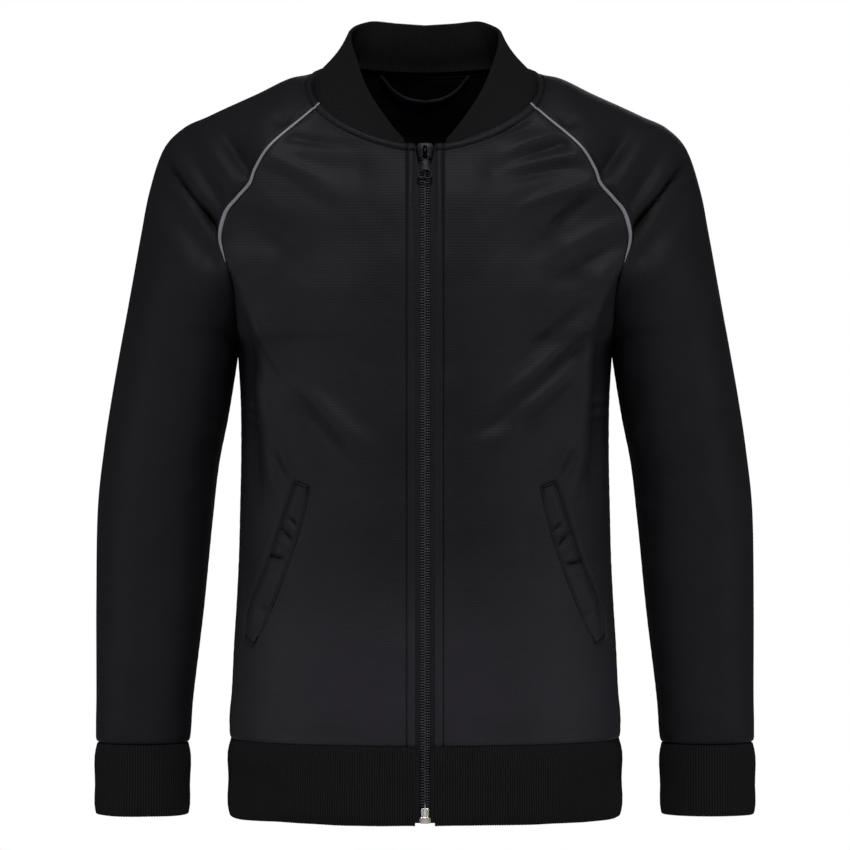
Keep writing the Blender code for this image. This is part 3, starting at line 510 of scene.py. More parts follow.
def knit(name, dark, light, roughness, painted_shading=0.0):
    """Tricot: fine courses lie across the cloth, and its smooth face scatters light softly.

    Painted_shading says how much painted shade darkens it beside the zip; low down it also scales the
    painted light.
    """
    material, tree, shader = new_material(name)
    lie = node(tree, "ShaderNodeSeparateXYZ", {0: node(tree, "ShaderNodeUVMap", uv_map="cloth")}).outputs
    courses = stripes(tree, lie["Y"], COURSE_PITCH)
    wales = stripes(tree, lie["X"], WALE_PITCH)
    spot = node(tree, "ShaderNodeTexCoord").outputs["Object"]
    grain = node(tree, "ShaderNodeTexNoise", {"Vector": spot, "Scale": 700.0, "Detail": 2.0})
    cloud = node(tree, "ShaderNodeTexNoise", {"Vector": spot, "Scale": 22.0, "Detail": 3.0})
    where = node(tree, "ShaderNodeSeparateXYZ", {0: spot}).outputs
    aside = node(tree, "ShaderNodeMath", {0: where["X"]}, operation="ABSOLUTE")
    free = node(tree, "ShaderNodeMapRange",
                {"Value": aside, "From Min": ZIP_PAINTED_SHADE_REACH[0], "From Max": ZIP_PAINTED_SHADE_REACH[1]},
                interpolation_type="SMOOTHSTEP")
    low = node(tree, "ShaderNodeMapRange",
               {"Value": where["Z"], "From Min": LOW_PAINTED_LIGHT_HEIGHTS[0], "From Max": LOW_PAINTED_LIGHT_HEIGHTS[1]},
               interpolation_type="SMOOTHSTEP")
    # Painted light and shade: this factor is 0 beside the zip up high, 1 away from it, and more low down.
    swell = node(tree, "ShaderNodeMath", {0: free, 1: low}, operation="MAXIMUM")
    swell = node(tree, "ShaderNodeMath", {0: low, 1: LOW_PAINTED_LIGHT_GAIN, 2: swell}, operation="MULTIPLY_ADD")
    tone = -0.25 - painted_shading
    for part, share in ((courses, 0.1), (grain, 0.9), (cloud, 0.6), (swell, painted_shading)):
        tone = node(tree, "ShaderNodeMath", {0: part, 1: share, 2: tone}, operation="MULTIPLY_ADD")
    colour = node(tree, "ShaderNodeMix", {"Factor": tone, "A": linear(dark), "B": linear(light)},
                  data_type="RGBA", clamp_factor=False)
    # Painted shade: the shade attribute darkens the colour towards black in deep creases and puckers, in the
    # pockets' mouths and along the welts' open edges and ends.
    shade = node(tree, "ShaderNodeAttribute", attribute_name="shade").outputs["Fac"]
    colour = node(tree, "ShaderNodeMix", {"Factor": shade, "A": colour, "B": linear("#020202")},
                  data_type="RGBA")
    relief = node(tree, "ShaderNodeMath", {0: courses, 1: grain}, operation="ADD")
    relief = node(tree, "ShaderNodeMath", {0: wales, 1: 0.35, 2: relief}, operation="MULTIPLY_ADD")
    bump = node(tree, "ShaderNodeBump", {"Height": relief, "Distance": 0.1 * MM, "Strength": 0.35})
    fill(tree, shader, {"Base Color": colour, "Normal": bump, "Roughness": roughness,
                        "Specular IOR Level": 0.1})
    return material


# The sleeves' copy of the tricot is painted a little darker than the fronts', as painted shade for the
# lesser light on the sleeves, with the same fine courses.
sleeve_tricot = knit("sleeve polyester tricot", "#171619", "#232125", 0.6)
# The brushed back of the cloth is black, and is painted darker still as painted shade inside the jacket.
tricot_back = knit("brushed tricot back", "#030303", "#080809", 0.9)


def neck_line(side):
    """The neck seam of one half, as points close together."""
    line = np.vstack([panel_row(2.0, FINE, True), neck_side_at(FINE), panel_row(2.0, FINE[::-1], False)])
    return mirrored(line, side)


# The body in level sections, from the hem seam to the underarm. Pulls set how square the front is.
BODY_SECTIONS = (
    # z, half_width, front_y, back_y, pull
    (-605, 174.3, -117, 111, 1.78),
    (-590, 175.6, -119, 114, 1.8),
    (-562, 173.5, -119, 112, 1.8),
    (-521, 171.5, -118, 109, 1.82),
    (-481, 169, -117, 107, 1.85),
    (-440, 167, -116.5, 106, 1.9),
    (-400, 166, -117, 107, 1.95),
    (-346, 165, -119, 110, 2),
    (-300, 165.5, -121, 114, 2.05),
    (-257, 168, -122, 118, 2.05),
)
BODY_BACK_PULL = 1.8
UNDERARM_Z = -257.0
HEM_SEAM_Z = -605.0
ZIP_EDGE = 8.7         # half the gap between the two front edges
ZIP_TOP_Z = -75.5

# The centre lines of front and back above the underarm.
FRONT_CENTRE = (
    # z, y
    (-257, -122),
    (-205, -122.5),
    (-155, -116.5),
    (-115, -106),
    (-95, -98.6),
    (-75.5, -91),
)
BACK_CENTRE = (
    # z, y
    (-257, 118),
    (-200, 121),
    (-140, 118),
    (-85, 106),
    (-38, 86),
    (2, 68),
)

# How the panels' rows leave the middle and reach the raglan seam. The turn is from straight outward
# (0) to straight back (90), and the pulls say how far the row keeps to each end's direction.
FRONT_ROWS = (
    # station, middle_pull, turn, seam_pull
    (0, 1.2, 58, 2.8),
    (1, 1.25, 45, 2.2),
    (2, 1.3, 32, 1.9),
    (3, 1.35, 24, 1.9),
    (5, 1.45, 14, 1.9),
    (7, 1.6, 12, 1.9),
    (8, 1.75, 34, 1.9),
    (9, 1.9, 80, 1.95),
    (10, 2, 97, 2),
    (11, 2.05, 90, 2.05),
)
BACK_ROWS = (
    # station, middle_pull, turn, seam_pull
    (0, 1.1, 50, 2),
    (1, 1.15, 40, 1.9),
    (2, 1.2, 32, 1.8),
    (3, 1.25, 26, 1.8),
    (5, 1.35, 20, 1.8),
    (7, 1.5, 25, 1.8),
    (8, 1.6, 45, 1.8),
    (9, 1.7, 80, 1.8),
    (10, 1.8, 95, 1.8),
    (11, 1.8, 90, 1.8),
)

body_at = table_curve(BODY_SECTIONS)
front_centre_at = table_curve(FRONT_CENTRE)
back_centre_at = table_curve(BACK_CENTRE)
front_pulls_at = table_curve(FRONT_ROWS)
back_pulls_at = table_curve(BACK_ROWS)


def pulled_row(start, start_pull, end, end_pull, along):
    """A cubic row from start to end, which leaves and arrives along the two pulls."""
    u = np.asarray(along, float)[:, None]
    return ((1 + 2 * u) * (1 - u) ** 2 * start + u * (1 - u) ** 2 * start_pull
            + u * u * (3 - 2 * u) * end + u * u * (u - 1) * end_pull)


def body_row(z, along, front):
    """A level row below the underarm, from the middle out to the side seam."""
    half_width, front_y, back_y, pull = body_at(z)
    middle_x, middle_y, pull = (ZIP_EDGE, front_y, pull) if front else (0.0, back_y, BODY_BACK_PULL)
    start = np.array([middle_x, middle_y, z])
    end = np.array([half_width, 0.0, z])
    return pulled_row(start, np.array([pull * (half_width - middle_x), 0.0, 0.0]),
                      end, np.array([0.0, -pull * middle_y, 0.0]), along)


def yoke_row(station, along, front):
    """A row above the underarm, from the middle out to the raglan seam at a sleeve's station."""
    end = plain_sleeve([station], [0.0 if front else 1.0])[0, 0]
    neck_z = (NECK_SIDE[0] if front else NECK_SIDE[-1])[2]
    top_z = ZIP_TOP_Z if front else BACK_CENTRE[-1][0]
    z = UNDERARM_Z + (top_z - UNDERARM_Z) * (end[2] - UNDERARM_Z) / (neck_z - UNDERARM_Z)
    centre_y = float((front_centre_at if front else back_centre_at)(z)[0])
    start = np.array([ZIP_EDGE if front else 0.0, centre_y, z])
    middle_pull, turn, seam_pull = (front_pulls_at if front else back_pulls_at)(station)
    turn = math.radians(turn)
    wide, deep, high = end - start
    start_pull = np.array([middle_pull * wide, 0.0, 0.2 * high])
    end_pull = np.array([math.cos(turn) * wide, math.sin(turn) * seam_pull * deep, 1.4 * high])
    return pulled_row(start, start_pull, end, end_pull, along)


def panel_row(height, along, front):
    """One row of a front or of half the back. Height is 0 at the hem, 1 at the underarm, 2 at the neck."""
    if height <= 1:
        return folded(body_row(HEM_SEAM_Z + (UNDERARM_Z - HEM_SEAM_Z) * height, along, front))
    return folded(yoke_row(UNDERARM * (2 - height), along, front))


def front_rows(heights, along):
    return np.array([panel_row(height, along, True) for height in heights])


def back_rows(heights, along):
    return np.array([panel_row(height, along, False) for height in heights])


def sided(creases, side, shift):
    """The left sleeve's creases, or the right's with their shift, all in the left sleeve's places."""
    if side > 0:
        return creases
    out, up = shift
    return [(x + out, z + up, to_x + out, to_z + up, bow, width, height * RIGHT_HEIGHT, lean)
            for x, z, to_x, to_z, bow, width, height, lean in creases]


stations = graded_stations(sleeve_rows, np.linspace(len(SLEEVE_RINGS), 0, 721), [0.0, 0.5, 1.0],
                           CLOSE, SLEEVE_GRID[0], NECK_CLOSE, lean=-0.35)
sleeve_base, sleeve_across = laid(sleeve_rows(stations, FINE), CLOSE, SLEEVE_GRID[1], CLOSE, lean=0.3)
sleeve_out = grid_outward(sleeve_base)
sleeve_length = travelled(sleeve_base[:, sleeve_base.shape[1] // 2])
sleeve_length = np.broadcast_to(sleeve_length[:, None], sleeve_across.shape)
sleeve_uv = np.stack([sleeve_across, sleeve_length], axis=-1) * MM
closed = stations >= UNDERARM
sleeve_neck_gap = gap_to(neck_line(1), sleeve_base)
sleeve_skins = {}
for word, side in SIDES:
    creases = crease_lift(sleeve_base, sleeve_out, sided(SLEEVE_CREASES, side, RIGHT_SHIFT))
    behind = crease_lift(sleeve_base, sleeve_out, sided(SLEEVE_CREASES, -side, BACK_SHIFT), 1.0)
    creases = creases + BACK_HEIGHT * behind
    waves = drape(mirrored(sleeve_base, side), SLEEVE_WAVES) * calm(sleeve_base)
    lift = creases + seam_lift(sleeve_base, SLEEVE_ROLLS) + stitch_lift(sleeve_neck_gap) + waves
    sleeve_skins[side] = sleeve_base + lift[..., None] * sleeve_out
    piece = cloth(f"sleeve_{word}_cloth", sleeve_skins[side], sleeve_out, SHELL, sleeve_uv,
                  [sleeve_tricot, tricot_back], side, closed, deep_shade(creases, SLEEVE_DEEP))
    dress(piece, "sleeve_tricot", f"sleeve_{word}")


# --------------------------------------------------------------------------------------- front panels
# Two front panels of the same tricot, cut alike, from the zip to the side seam and the raglan seam.
# Their front edges are turned in and sewn to the zip tapes.

ZIP_STITCH = 7.2       # the stitching lies this far from the front edge
ZIP_CLOSE = np.array([0.0, 0.4, 0.8, 1.4, 2.4, 3.8, 5.2, 6.2, 6.8, 7.2, 7.6, 8.2, 9.0, 10.4])
FRONT_DEEP = 6.5       # a crease of the front this deep gets nearly black painted shade inside
FRONT_ROLLS = (0.5, 0.8, 1.4, 0.9)
FRONT_WAVES = 0.3
FRONT_GRID = (228, 104)

# Creases of the whole front, for each side by itself.
FRONT_CREASES = (
    # x, z, to_x, to_z, bow, width, height, lean
    (-50, -80, -154, -60, -1, 4.6, -3.2, -0.1),
    (-70, -110, -160, -76, -2, 6.5, 2.5, -0.2),
    (-64, -140, -150, -86, -2, 9, -2.3, -0.1),
    (-84, -164, -164, -102, -3, 10, 2.2, -0.1),
    (-96, -192, -170, -122, -2, 12, -2.2, -0.1),
    (-146, -420, -160, -200, 0, 8, -4, -0.4),
    (-147, -226, -139, -356, -1, 7, 3.6, 0.1),
    (-124, -404, -141, -334, -2, 7, 2.4, -0.1),
    (-143, -310, -166, -303, -0.5, 3, 2.2, -0.1),
    (-143, -321, -165, -313, -0.5, 3, 2, -0.1),
    (-111, -374, -130, -334, -2, 5, 2.4, -0.1),
    (-120, -378, -136, -340, -2, 4, -1.8, -0.1),
    (-112, -300, -168, -198, 0, 8, 4.2, 0.4),
    (-128, -320, -162, -236, 0, 6.5, -2.4, 0),
    (-34, -360, -122, -276, 1, 8, 3.6, -0.2),
    (-22, -352, -100, -270, 1, 9, -1.8, -0.1),
    (-20, -336, -78, -246, -1, 12, 2, -0.1),
    (-42, -378, -130, -280, 0, 6.5, -4, -0.2),
    (-48, -404, -96, -378, -2, 12, 1.6, -0.1),
    (-46, -446, -90, -432, -2, 13, 1.4, -0.1),
    (-40, -586, -118, -572, -3, 12, 1.6, -0.1),
    (52, -75, 106.7, -55, -2, 5.6, -3.4, 0.1),
    (60, -89, 126.1, -65.1, -3, 5.6, 3, 0.1),
    (68, -93, 142.1, -68.5, -2.5, 5.8, -5.1, 0.15),
    (60, -102, 158, -83.8, -3, 6.2, 4.3, 0.1),
    (58, -111, 153.8, -90.5, -3, 5.8, -4.2, 0.1),
    (70, -138, 165.8, -102.7, -2, 6.2, 4.8, 0.2),
    (88, -172, 166, -106, -2, 7, -4.7, 0.2),
    (88, -188, 184, -138, -2, 8.5, 4, 0.1),
    (94, -208, 182, -158, -2, 9, -4.2, 0.1),
    (104, -230, 176, -178, -2, 10, 2.2, 0.1),
    (141, -242, 169, -188, -2, 7.5, 2.9, -0.1),
    (146, -420, 160, -200, 0, 8, -4, 0.4),
    (147, -232, 139, -350, 1, 7, 3.4, 0.1),
    (125, -400, 141, -330, 2, 7, 2.4, -0.1),
    (34, -334, 96, -306, 2, 8, -2.9, -0.1),
    (42, -346, 90, -322, 2, 8, 2.6, -0.1),
    (143, -305, 165, -299, 0.5, 3, 2, -0.1),
    (143, -316, 166, -310, 0.5, 3, 2.2, -0.1),
    (110, -372, 129, -332, 2, 5, 2.2, -0.1),
    (119, -376, 135, -342, 2, 4, -1.6, -0.1),
    (52, -398, 98, -374, 2, 12, 1.6, -0.1),
    (52, -440, 92, -424, 2, 13, 1.4, -0.1),
    (44, -588, 120, -566, 3, 12, 1.6, -0.1),
    (56, -284, 158, -200, 3, 5.6, -3.3, 0.1),
    (34, -322, 162, -214, 4, 5.6, 3.5, 0.1),
    (44, -334, 160, -230, 4, 6, -3.5, 0.1),
    (24, -352, 158, -248, 4, 6.6, 2.8, 0.1),
    (48, -356, 145, -278, 3, 7, -2.8, 0.1),
)

# The pocket welt, as seen from the front: its opening edge and its stitched edge, from the top.
WELT = (
    # outer_x, outer_z, inner_x, inner_z
    (113.2, -371.4, 101.2, -376.8),
    (125.1, -409.2, 107.4, -406.4),
    (138.6, -446.3, 118.9, -444.2),
    (153.4, -480.4, 133.3, -481.5),
    (159.4, -510.9, 150.6, -518.4),
)
welt_at = curve(np.linspace(0, 1, len(WELT)), WELT)

MOUTH_DEEP = 3.4       # the panel sinks this far along the pocket's open edge
MOUTH_REACH = 2.6
MOUTH_DARK = 2.2       # and within this of the edge the cloth gets painted shade

# The fronts' copy of the tricot: soft dark grey, painted a little lighter than the sleeves' copy as painted
# light, with painted shade beside the zip and painted light low down.
shell_tricot = knit("body polyester tricot", "#1b1a1d", "#2a282d", 0.56, 0.3)

mouth_line = np.insert(welt_at(np.linspace(0.03, 0.97, 90))[:, :2], 1, 0.0, axis=1)
heights = graded_stations(front_rows, np.linspace(0, 2, 401), [0.0, 1.0], CLOSE, FRONT_GRID[0], NECK_CLOSE)
front_base, front_across = laid(front_rows(heights, FINE), ZIP_CLOSE, FRONT_GRID[1], CLOSE)
front_out = grid_outward(front_base)
front_neck_gap = gap_to(neck_line(1), front_base)
front_uv = np.stack([front_across, front_base[..., 2]], axis=-1) * MM
mouth_gap = gap_to(mouth_line, front_base * np.array([1.0, 0.0, 1.0]))
mouth_lift = smooth_step(-front_base[..., 1] / 40.0) * (
    -MOUTH_DEEP * np.exp(-(mouth_gap / MOUTH_REACH) ** 2) + 0.5 * np.exp(-((mouth_gap - 6.5) / 4.0) ** 2))
# Painted shade in the pocket's mouth, darkest at the welt's open edge.
mouth_shade = 0.97 * np.exp(-(mouth_gap / MOUTH_DARK) ** 4) * (front_base[..., 1] < -30)
front_skins = {}
for word, side in SIDES:
    creases = crease_lift(mirrored(front_base, side), front_out, FRONT_CREASES)
    lift = (creases + seam_lift(front_base, FRONT_ROLLS) + stitch_lift(front_neck_gap)
            + stitch_lift(front_across, ZIP_STITCH) + mouth_lift
            + drape(mirrored(front_base, side), FRONT_WAVES) * calm(front_base))
    front_skins[side] = front_base + lift[..., None] * front_out
    piece = cloth(f"front_{word}_cloth", front_skins[side], front_out, SHELL, front_uv,
                  [shell_tricot, tricot_back], side,
                  shade=np.maximum(deep_shade(creases, FRONT_DEEP), mouth_shade))
    dress(piece, "shell_tricot", f"front_{word}")


# ----------------------------------------------------------------------------------------- back panel
# One back panel of the same tricot, sewn to the fronts at the sides and to the sleeves along the back
# raglan seams. It hangs almost smooth, with soft folds from the armholes and above the hem.

BACK_ROLLS = (0.8, 0.8, 1.4, 0.9)
BACK_WAVES = 0.7
BACK_CALM = 14.0
BACK_GRID = (165, 72)
BACK_UNDER = 0.9       # its side edges reach this far under the fronts' and the sleeves'

BACK_CREASES = (
    # x, z, to_x, to_z, bow, width, height, lean
    (158, -170, 84, -118, 5, 12, 3.6, 0.2),
    (150, -186, 78, -140, 5, 10, -3, 0.2),
    (162, -214, 92, -190, 4, 11, 3.3, 0.2),
    (150, -232, 84, -262, -4, 12, 2.7, 0.2),
    (160, -262, 138, -392, 5, 11, 3.9, 0.2),
    (140, -282, 122, -380, 4, 10, -2.7, 0.2),
    (112, -300, 40, -352, -5, 15, 2.4, 0.2),
    (70, -90, 30, -66, 2, 11, -1.8, 0.2),
    (130, -470, 60, -446, 5, 16, 2.1, 0.2),
    (126, -560, 40, -572, 4, 13, 2.7, 0.2),
    (100, -540, 30, -552, 3, 11, -2, 0.2),
    (-152, -164, -76, -124, -5, 12, 3.3, 0.2),
    (-156, -190, -88, -152, -4, 10, -2.8, 0.2),
    (-160, -220, -84, -204, -4, 12, 3, 0.2),
    (-148, -240, -90, -276, 4, 12, 2.4, 0.2),
    (-161, -258, -141, -372, -5, 11, 4.1, 0.2),
    (-142, -276, -126, -366, -4, 10, -2.8, 0.2),
    (-104, -320, -28, -366, 5, 15, 2.4, 0.2),
    (-64, -84, -24, -62, -2, 11, -1.7, 0.2),
    (-134, -484, -66, -456, -5, 15, 2.1, 0.2),
    (-118, -566, -30, -580, -4, 12, 2.5, 0.2),
    (-24, -150, 30, -158, 3, 16, 1.8, 0.2),
)

back_heights = graded_stations(back_rows, np.linspace(0, 2, 401), [0.0, 1.0], CLOSE, BACK_GRID[0],
                               NECK_CLOSE)
half_base, half_across = laid(back_rows(back_heights, FINE), CLOSE, BACK_GRID[1], CLOSE)
back_base = np.concatenate([half_base[:, ::-1], mirrored(half_base)[:, 1:]], axis=1)
back_across = np.concatenate([half_across[:, ::-1], -half_across[:, 1:]], axis=1)
back_out = grid_outward(back_base)
back_neck_gap = np.minimum(gap_to(neck_line(1), back_base), gap_to(neck_line(-1), back_base))
back_uv = np.stack([back_across, back_base[..., 2]], axis=-1) * MM
back_lift = (crease_lift(back_base, back_out, BACK_CREASES, 1.0) + seam_lift(back_base, BACK_ROLLS)
             + stitch_lift(back_neck_gap) + drape(back_base, BACK_WAVES) * calm(back_base, BACK_CALM))
back_skin = back_base + back_lift[..., None] * back_out
# The edges that reach under the other pieces keep light from coming through the seams.
back_skin[:, 0] += BACK_UNDER * unit(back_skin[:, 0] - back_skin[:, 1])
back_skin[:, -1] += BACK_UNDER * unit(back_skin[:, -1] - back_skin[:, -2])
piece = cloth("back_cloth", back_skin, back_out, SHELL, back_uv, [shell_tricot, tricot_back])
dress(piece, "shell_tricot", "back")


# ------------------------------------------------------------------------------------------- stitching
# Polyester thread in the cloth's own colour. One line runs down both front edges, turns along the neck
# and goes on over the shoulders and round the back; it holds the seam allowance flat.

STITCH_PITCH = 3.0
STITCH_LONG = 2.2
THREAD = 0.75          # real thread is less than half as thick, too fine to show


def clouded(name, dark, light, scale, finish, detail=2.0):
    """A material whose tone wanders between two colours. Scale says how fine the clouds are."""
    material, tree, shader = new_material(name)
    spot = node(tree, "ShaderNodeTexCoord").outputs["Object"]
    cloud = node(tree, "ShaderNodeTexNoise", {"Vector": spot, "Scale": scale, "Detail": detail})
    tone = node(tree, "ShaderNodeMix", {"Factor": cloud, "A": linear(dark), "B": linear(light)},
                data_type="RGBA")
    fill(tree, shader, {"Base Color": tone, **finish})
    return material


# A thread's twist breaks the light into small sparks, so it shows against the cloth.
thread = clouded("black polyester thread", "#020202", "#0a0a0b", 2500.0,
                 {"Roughness": 0.6, "Specular IOR Level": 0.15})


def geometry_tree(name, sizes):
    """A geometry tree with a mesh and named sizes going in, and its two end nodes."""
    tree = bpy.data.node_groups.new(name, "GeometryNodeTree")
    tree.interface.new_socket("Geometry", in_out="INPUT", socket_type="NodeSocketGeometry")
    for label in sizes:
        tree.interface.new_socket(label, in_out="INPUT", socket_type="NodeSocketFloat")
    tree.interface.new_socket("Geometry", in_out="OUTPUT", socket_type="NodeSocketGeometry")
    return tree, tree.nodes.new("NodeGroupInput"), tree.nodes.new("NodeGroupOutput")


def bake(piece, tree, sizes):
    """Run a geometry tree on a piece with its sizes, and keep the result as plain mesh."""
    step = piece.modifiers.new(tree.name, "NODES")
    step.node_group = tree
    for socket in tree.interface.items_tree:
        if socket.in_out == "INPUT" and socket.name in sizes:
            step[socket.identifier] = sizes[socket.name]
    bpy.context.view_layer.update()
    graph = bpy.context.evaluated_depsgraph_get()
    mesh = bpy.data.meshes.new_from_object(piece.evaluated_get(graph))
    piece.modifiers.clear()
    piece.data = mesh
    return piece


def path_object(name, paths):
    """Paths in millimetres as an object of edges, for a geometry tree to follow."""
    points, edges = [], []
    for path in paths:
        edges += [(len(points) + place, len(points) + place + 1) for place in range(len(path) - 1)]
        points += (np.asarray(path) * MM).tolist()
    mesh = bpy.data.meshes.new(name)
    mesh.from_pydata(points, edges, [])
    return linked(name, mesh)


def path_steps(tree, sizes):
    """Points along the paths that go in, one to each pitch."""
    path = node(tree, "GeometryNodeMeshToCurve", {"Mesh": sizes.outputs["Geometry"]})
    return node(tree, "GeometryNodeResampleCurve", {"Curve": path, "Length": sizes.outputs["Pitch"]},
                mode="LENGTH")


def made_real(tree, result, placed, material):
    """End a tree: its instances become plain mesh, smooth and of their material."""
    real = node(tree, "GeometryNodeRealizeInstances", {"Geometry": placed})
    smooth = node(tree, "GeometryNodeSetShadeSmooth", {"Geometry": real})
    coated = node(tree, "GeometryNodeSetMaterial", {"Geometry": smooth, "Material": material})
    fill(tree, result, {0: coated})


stitch_tree, sizes, result = geometry_tree("stitches along a path",
                                           ("Pitch", "Stitch length", "Thread", "Turn"))
# One stitch is a short run of thread, drawn as a small long ball.
ball = node(stitch_tree, "GeometryNodeMeshUVSphere", {"Segments": 6, "Rings": 4, "Radius": 0.5})
scale = node(stitch_tree, "ShaderNodeCombineXYZ", {"X": sizes.outputs["Stitch length"],
                                                   "Y": sizes.outputs["Thread"],
                                                   "Z": sizes.outputs["Thread"]})
ball = node(stitch_tree, "GeometryNodeTransform", {"Geometry": ball, "Scale": scale})
facing = node(stitch_tree, "FunctionNodeAlignRotationToVector",
              {"Vector": node(stitch_tree, "GeometryNodeInputTangent")}, axis="X")
turn = node(stitch_tree, "FunctionNodeAxisAngleToRotation",
            {"Axis": (0.0, 1.0, 0.0), "Angle": sizes.outputs["Turn"]})
facing = node(stitch_tree, "FunctionNodeRotateRotation", {"Rotation": facing, "Rotate By": turn},
              rotation_space="LOCAL")
placed = node(stitch_tree, "GeometryNodeInstanceOnPoints",
              {"Points": path_steps(stitch_tree, sizes), "Instance": ball, "Rotation": facing})
made_real(stitch_tree, result, placed, thread)


def stitches(name, paths, pitch=STITCH_PITCH, length=STITCH_LONG, turned=0.0):
    """Stitches along paths. Turned is how far each is turned out of its path, in radians."""
    piece = bake(path_object(name, paths), stitch_tree,
                 {"Pitch": pitch * MM, "Stitch length": length * MM, "Thread": THREAD * MM, "Turn": turned})
    return dress(piece, "shell_tricot")


def where_gap(skin, gap, level):
    """Where each column of a grid crosses a distance from the edge that its rows rise to."""
    line = []
    for column in range(skin.shape[1]):
        row = int(np.nonzero(gap[:, column] > level)[0][-1])
        if row + 1 < len(skin):
            share = (gap[row, column] - level) / (gap[row, column] - gap[row + 1, column])
            line.append(skin[row, column] * (1 - share) + skin[row + 1, column] * share)
    return np.array(line)


zip_column = int(np.nonzero(np.isclose(ZIP_CLOSE, ZIP_STITCH))[0][0])
for word, side in SIDES:
    edge = front_skins[side][:, zip_column]
    edge = edge[front_neck_gap[:, zip_column] > STITCH_GAP]
    front_line = where_gap(front_skins[side][:, zip_column:], front_neck_gap[:, zip_column:], STITCH_GAP)
    sleeve_line = where_gap(sleeve_skins[side], sleeve_neck_gap, STITCH_GAP)
    stitches(f"neck_stitching_{word}",
             [mirrored(line, side) for line in (edge, front_line, sleeve_line)])
stitches("neck_stitching_back", [where_gap(back_skin, back_neck_gap, STITCH_GAP)])


# --------------------------------------------------------------------------------------------- piping
# A thin cord in light grey satin bias tape, caught in each front raglan seam. It stands a little proud
# of the cloth and is pressed flat where the neck stitching crosses it.

PIPING_HALF_WIDTH = 1.45
PIPING_HALF_HEIGHT = 0.95
PIPING_STATIONS = (0.02, 8.15)
PIPING_SWELL = ((0.0, 1.0, 4.0, 6.5, 7.6, 8.15), (0.95, 0.85, 1.0, 1.2, 0.9, 0.2))   # at stations


def slanting_weave(tree, lean, pitch, share, dark, light):
    """Slanting floats of yarn, and the tone that goes with them from one colour to the other."""
    spot = node(tree, "ShaderNodeTexCoord").outputs["Object"]
    place = node(tree, "ShaderNodeSeparateXYZ", {0: spot}).outputs
    slant = node(tree, "ShaderNodeMath", {0: place["X"], 1: lean, 2: place["Z"]}, operation="MULTIPLY_ADD")
    floats = stripes(tree, slant, pitch)
    share = node(tree, "ShaderNodeMath", {0: floats, 1: share, 2: 0.5}, operation="MULTIPLY_ADD")
    return place, floats, node(tree, "ShaderNodeMix",
                               {"Factor": share, "A": linear(dark), "B": linear(light)}, data_type="RGBA")


# Satin catches the light along its length, with a faint slanting weave.
piping_satin, piping_tree, piping_shader = new_material("light grey satin bias tape")
_, _, tone = slanting_weave(piping_tree, 1.0, 1.1, 0.3, "#77757b", "#8d8b92")
fill(piping_tree, piping_shader, {"Base Color": tone, "Roughness": 0.42, "Specular IOR Level": 0.45,
                                  "Sheen Weight": 0.2, "Sheen Roughness": 0.4})


def round_turns(corners):
    """The turns of so many corners, evenly round."""
    return np.linspace(0, 2 * math.pi, corners, endpoint=False)


def swept(name, sections, material, side=1):
    """A rod through closed sections, with its ends drawn together."""
    count, corners = sections.shape[:2]
    ends = np.stack([np.repeat(sections[end].mean(axis=0)[None], corners, axis=0) for end in (0, -1)])
    points = np.concatenate([ends[:1], sections, ends[1:]])
    ids = np.arange((count + 2) * corners).reshape(count + 2, corners)
    ids = np.concatenate([ids, ids[:, :1]], axis=1)
    return solid(name, points.reshape(-1, 3), quads(ids), [material], side)


def piping_sections(count=190, corners=12):
    """Sections of the cord, which lies on the seam between the sleeve and the front panel."""
    top, low = PIPING_STATIONS
    dense = np.linspace(low, top, 800)
    seam = sleeve_rows(dense, [0.0])[:, 0]
    spots = np.interp(np.linspace(0, 1, count), arc_shares(seam), dense)
    turns = round_turns(corners)
    neck = sleeve_rows([0.0], [0.0])[0, 0]
    sections = []
    for station in spots:
        before, here, after = sleeve_rows([station - 0.02, station, station + 0.02], [0.0])[:, 0]
        sleeve_way = unit(sleeve_rows([station], [0.04])[0, 0] - here)
        panel_way = unit(panel_row(2 - station / UNDERARM, [0.96], True)[0] - here)
        across = unit(sleeve_way - panel_way)
        out = unit(np.cross(across, unit(before - after)))
        rise = max(0.0, float(sleeve_way @ out), float(panel_way @ out))
        pinch = 0.5 * math.exp(-((np.linalg.norm(here - neck) - STITCH_GAP) / 2.0) ** 2)
        swell = np.interp(station, PIPING_SWELL[0], PIPING_SWELL[1])
        high = PIPING_HALF_HEIGHT * (1 - pinch) * min(1.0, swell)
        wide = PIPING_HALF_WIDTH * swell
        lift = high - 0.2 + wide * rise / math.sqrt(1 - rise ** 2)
        sections.append(here + (lift + high * np.sin(turns))[:, None] * out
                        + wide * np.cos(turns)[:, None] * across)
    return np.array(sections)


cord_sections = piping_sections()
for word, side in SIDES:
    dress(swept(f"piping_{word}_satin", cord_sections, piping_satin, side), "piping", f"piping_{word}")


# -------------------------------------------------------------------------------------- pocket welts
# A folded strip of the tricot covers each slanting pocket. Its inner edge is topstitched to the front,
# its outer edge is the pocket's mouth, and a bar of close stitches holds each end.

WELT_HIGH = 2.3
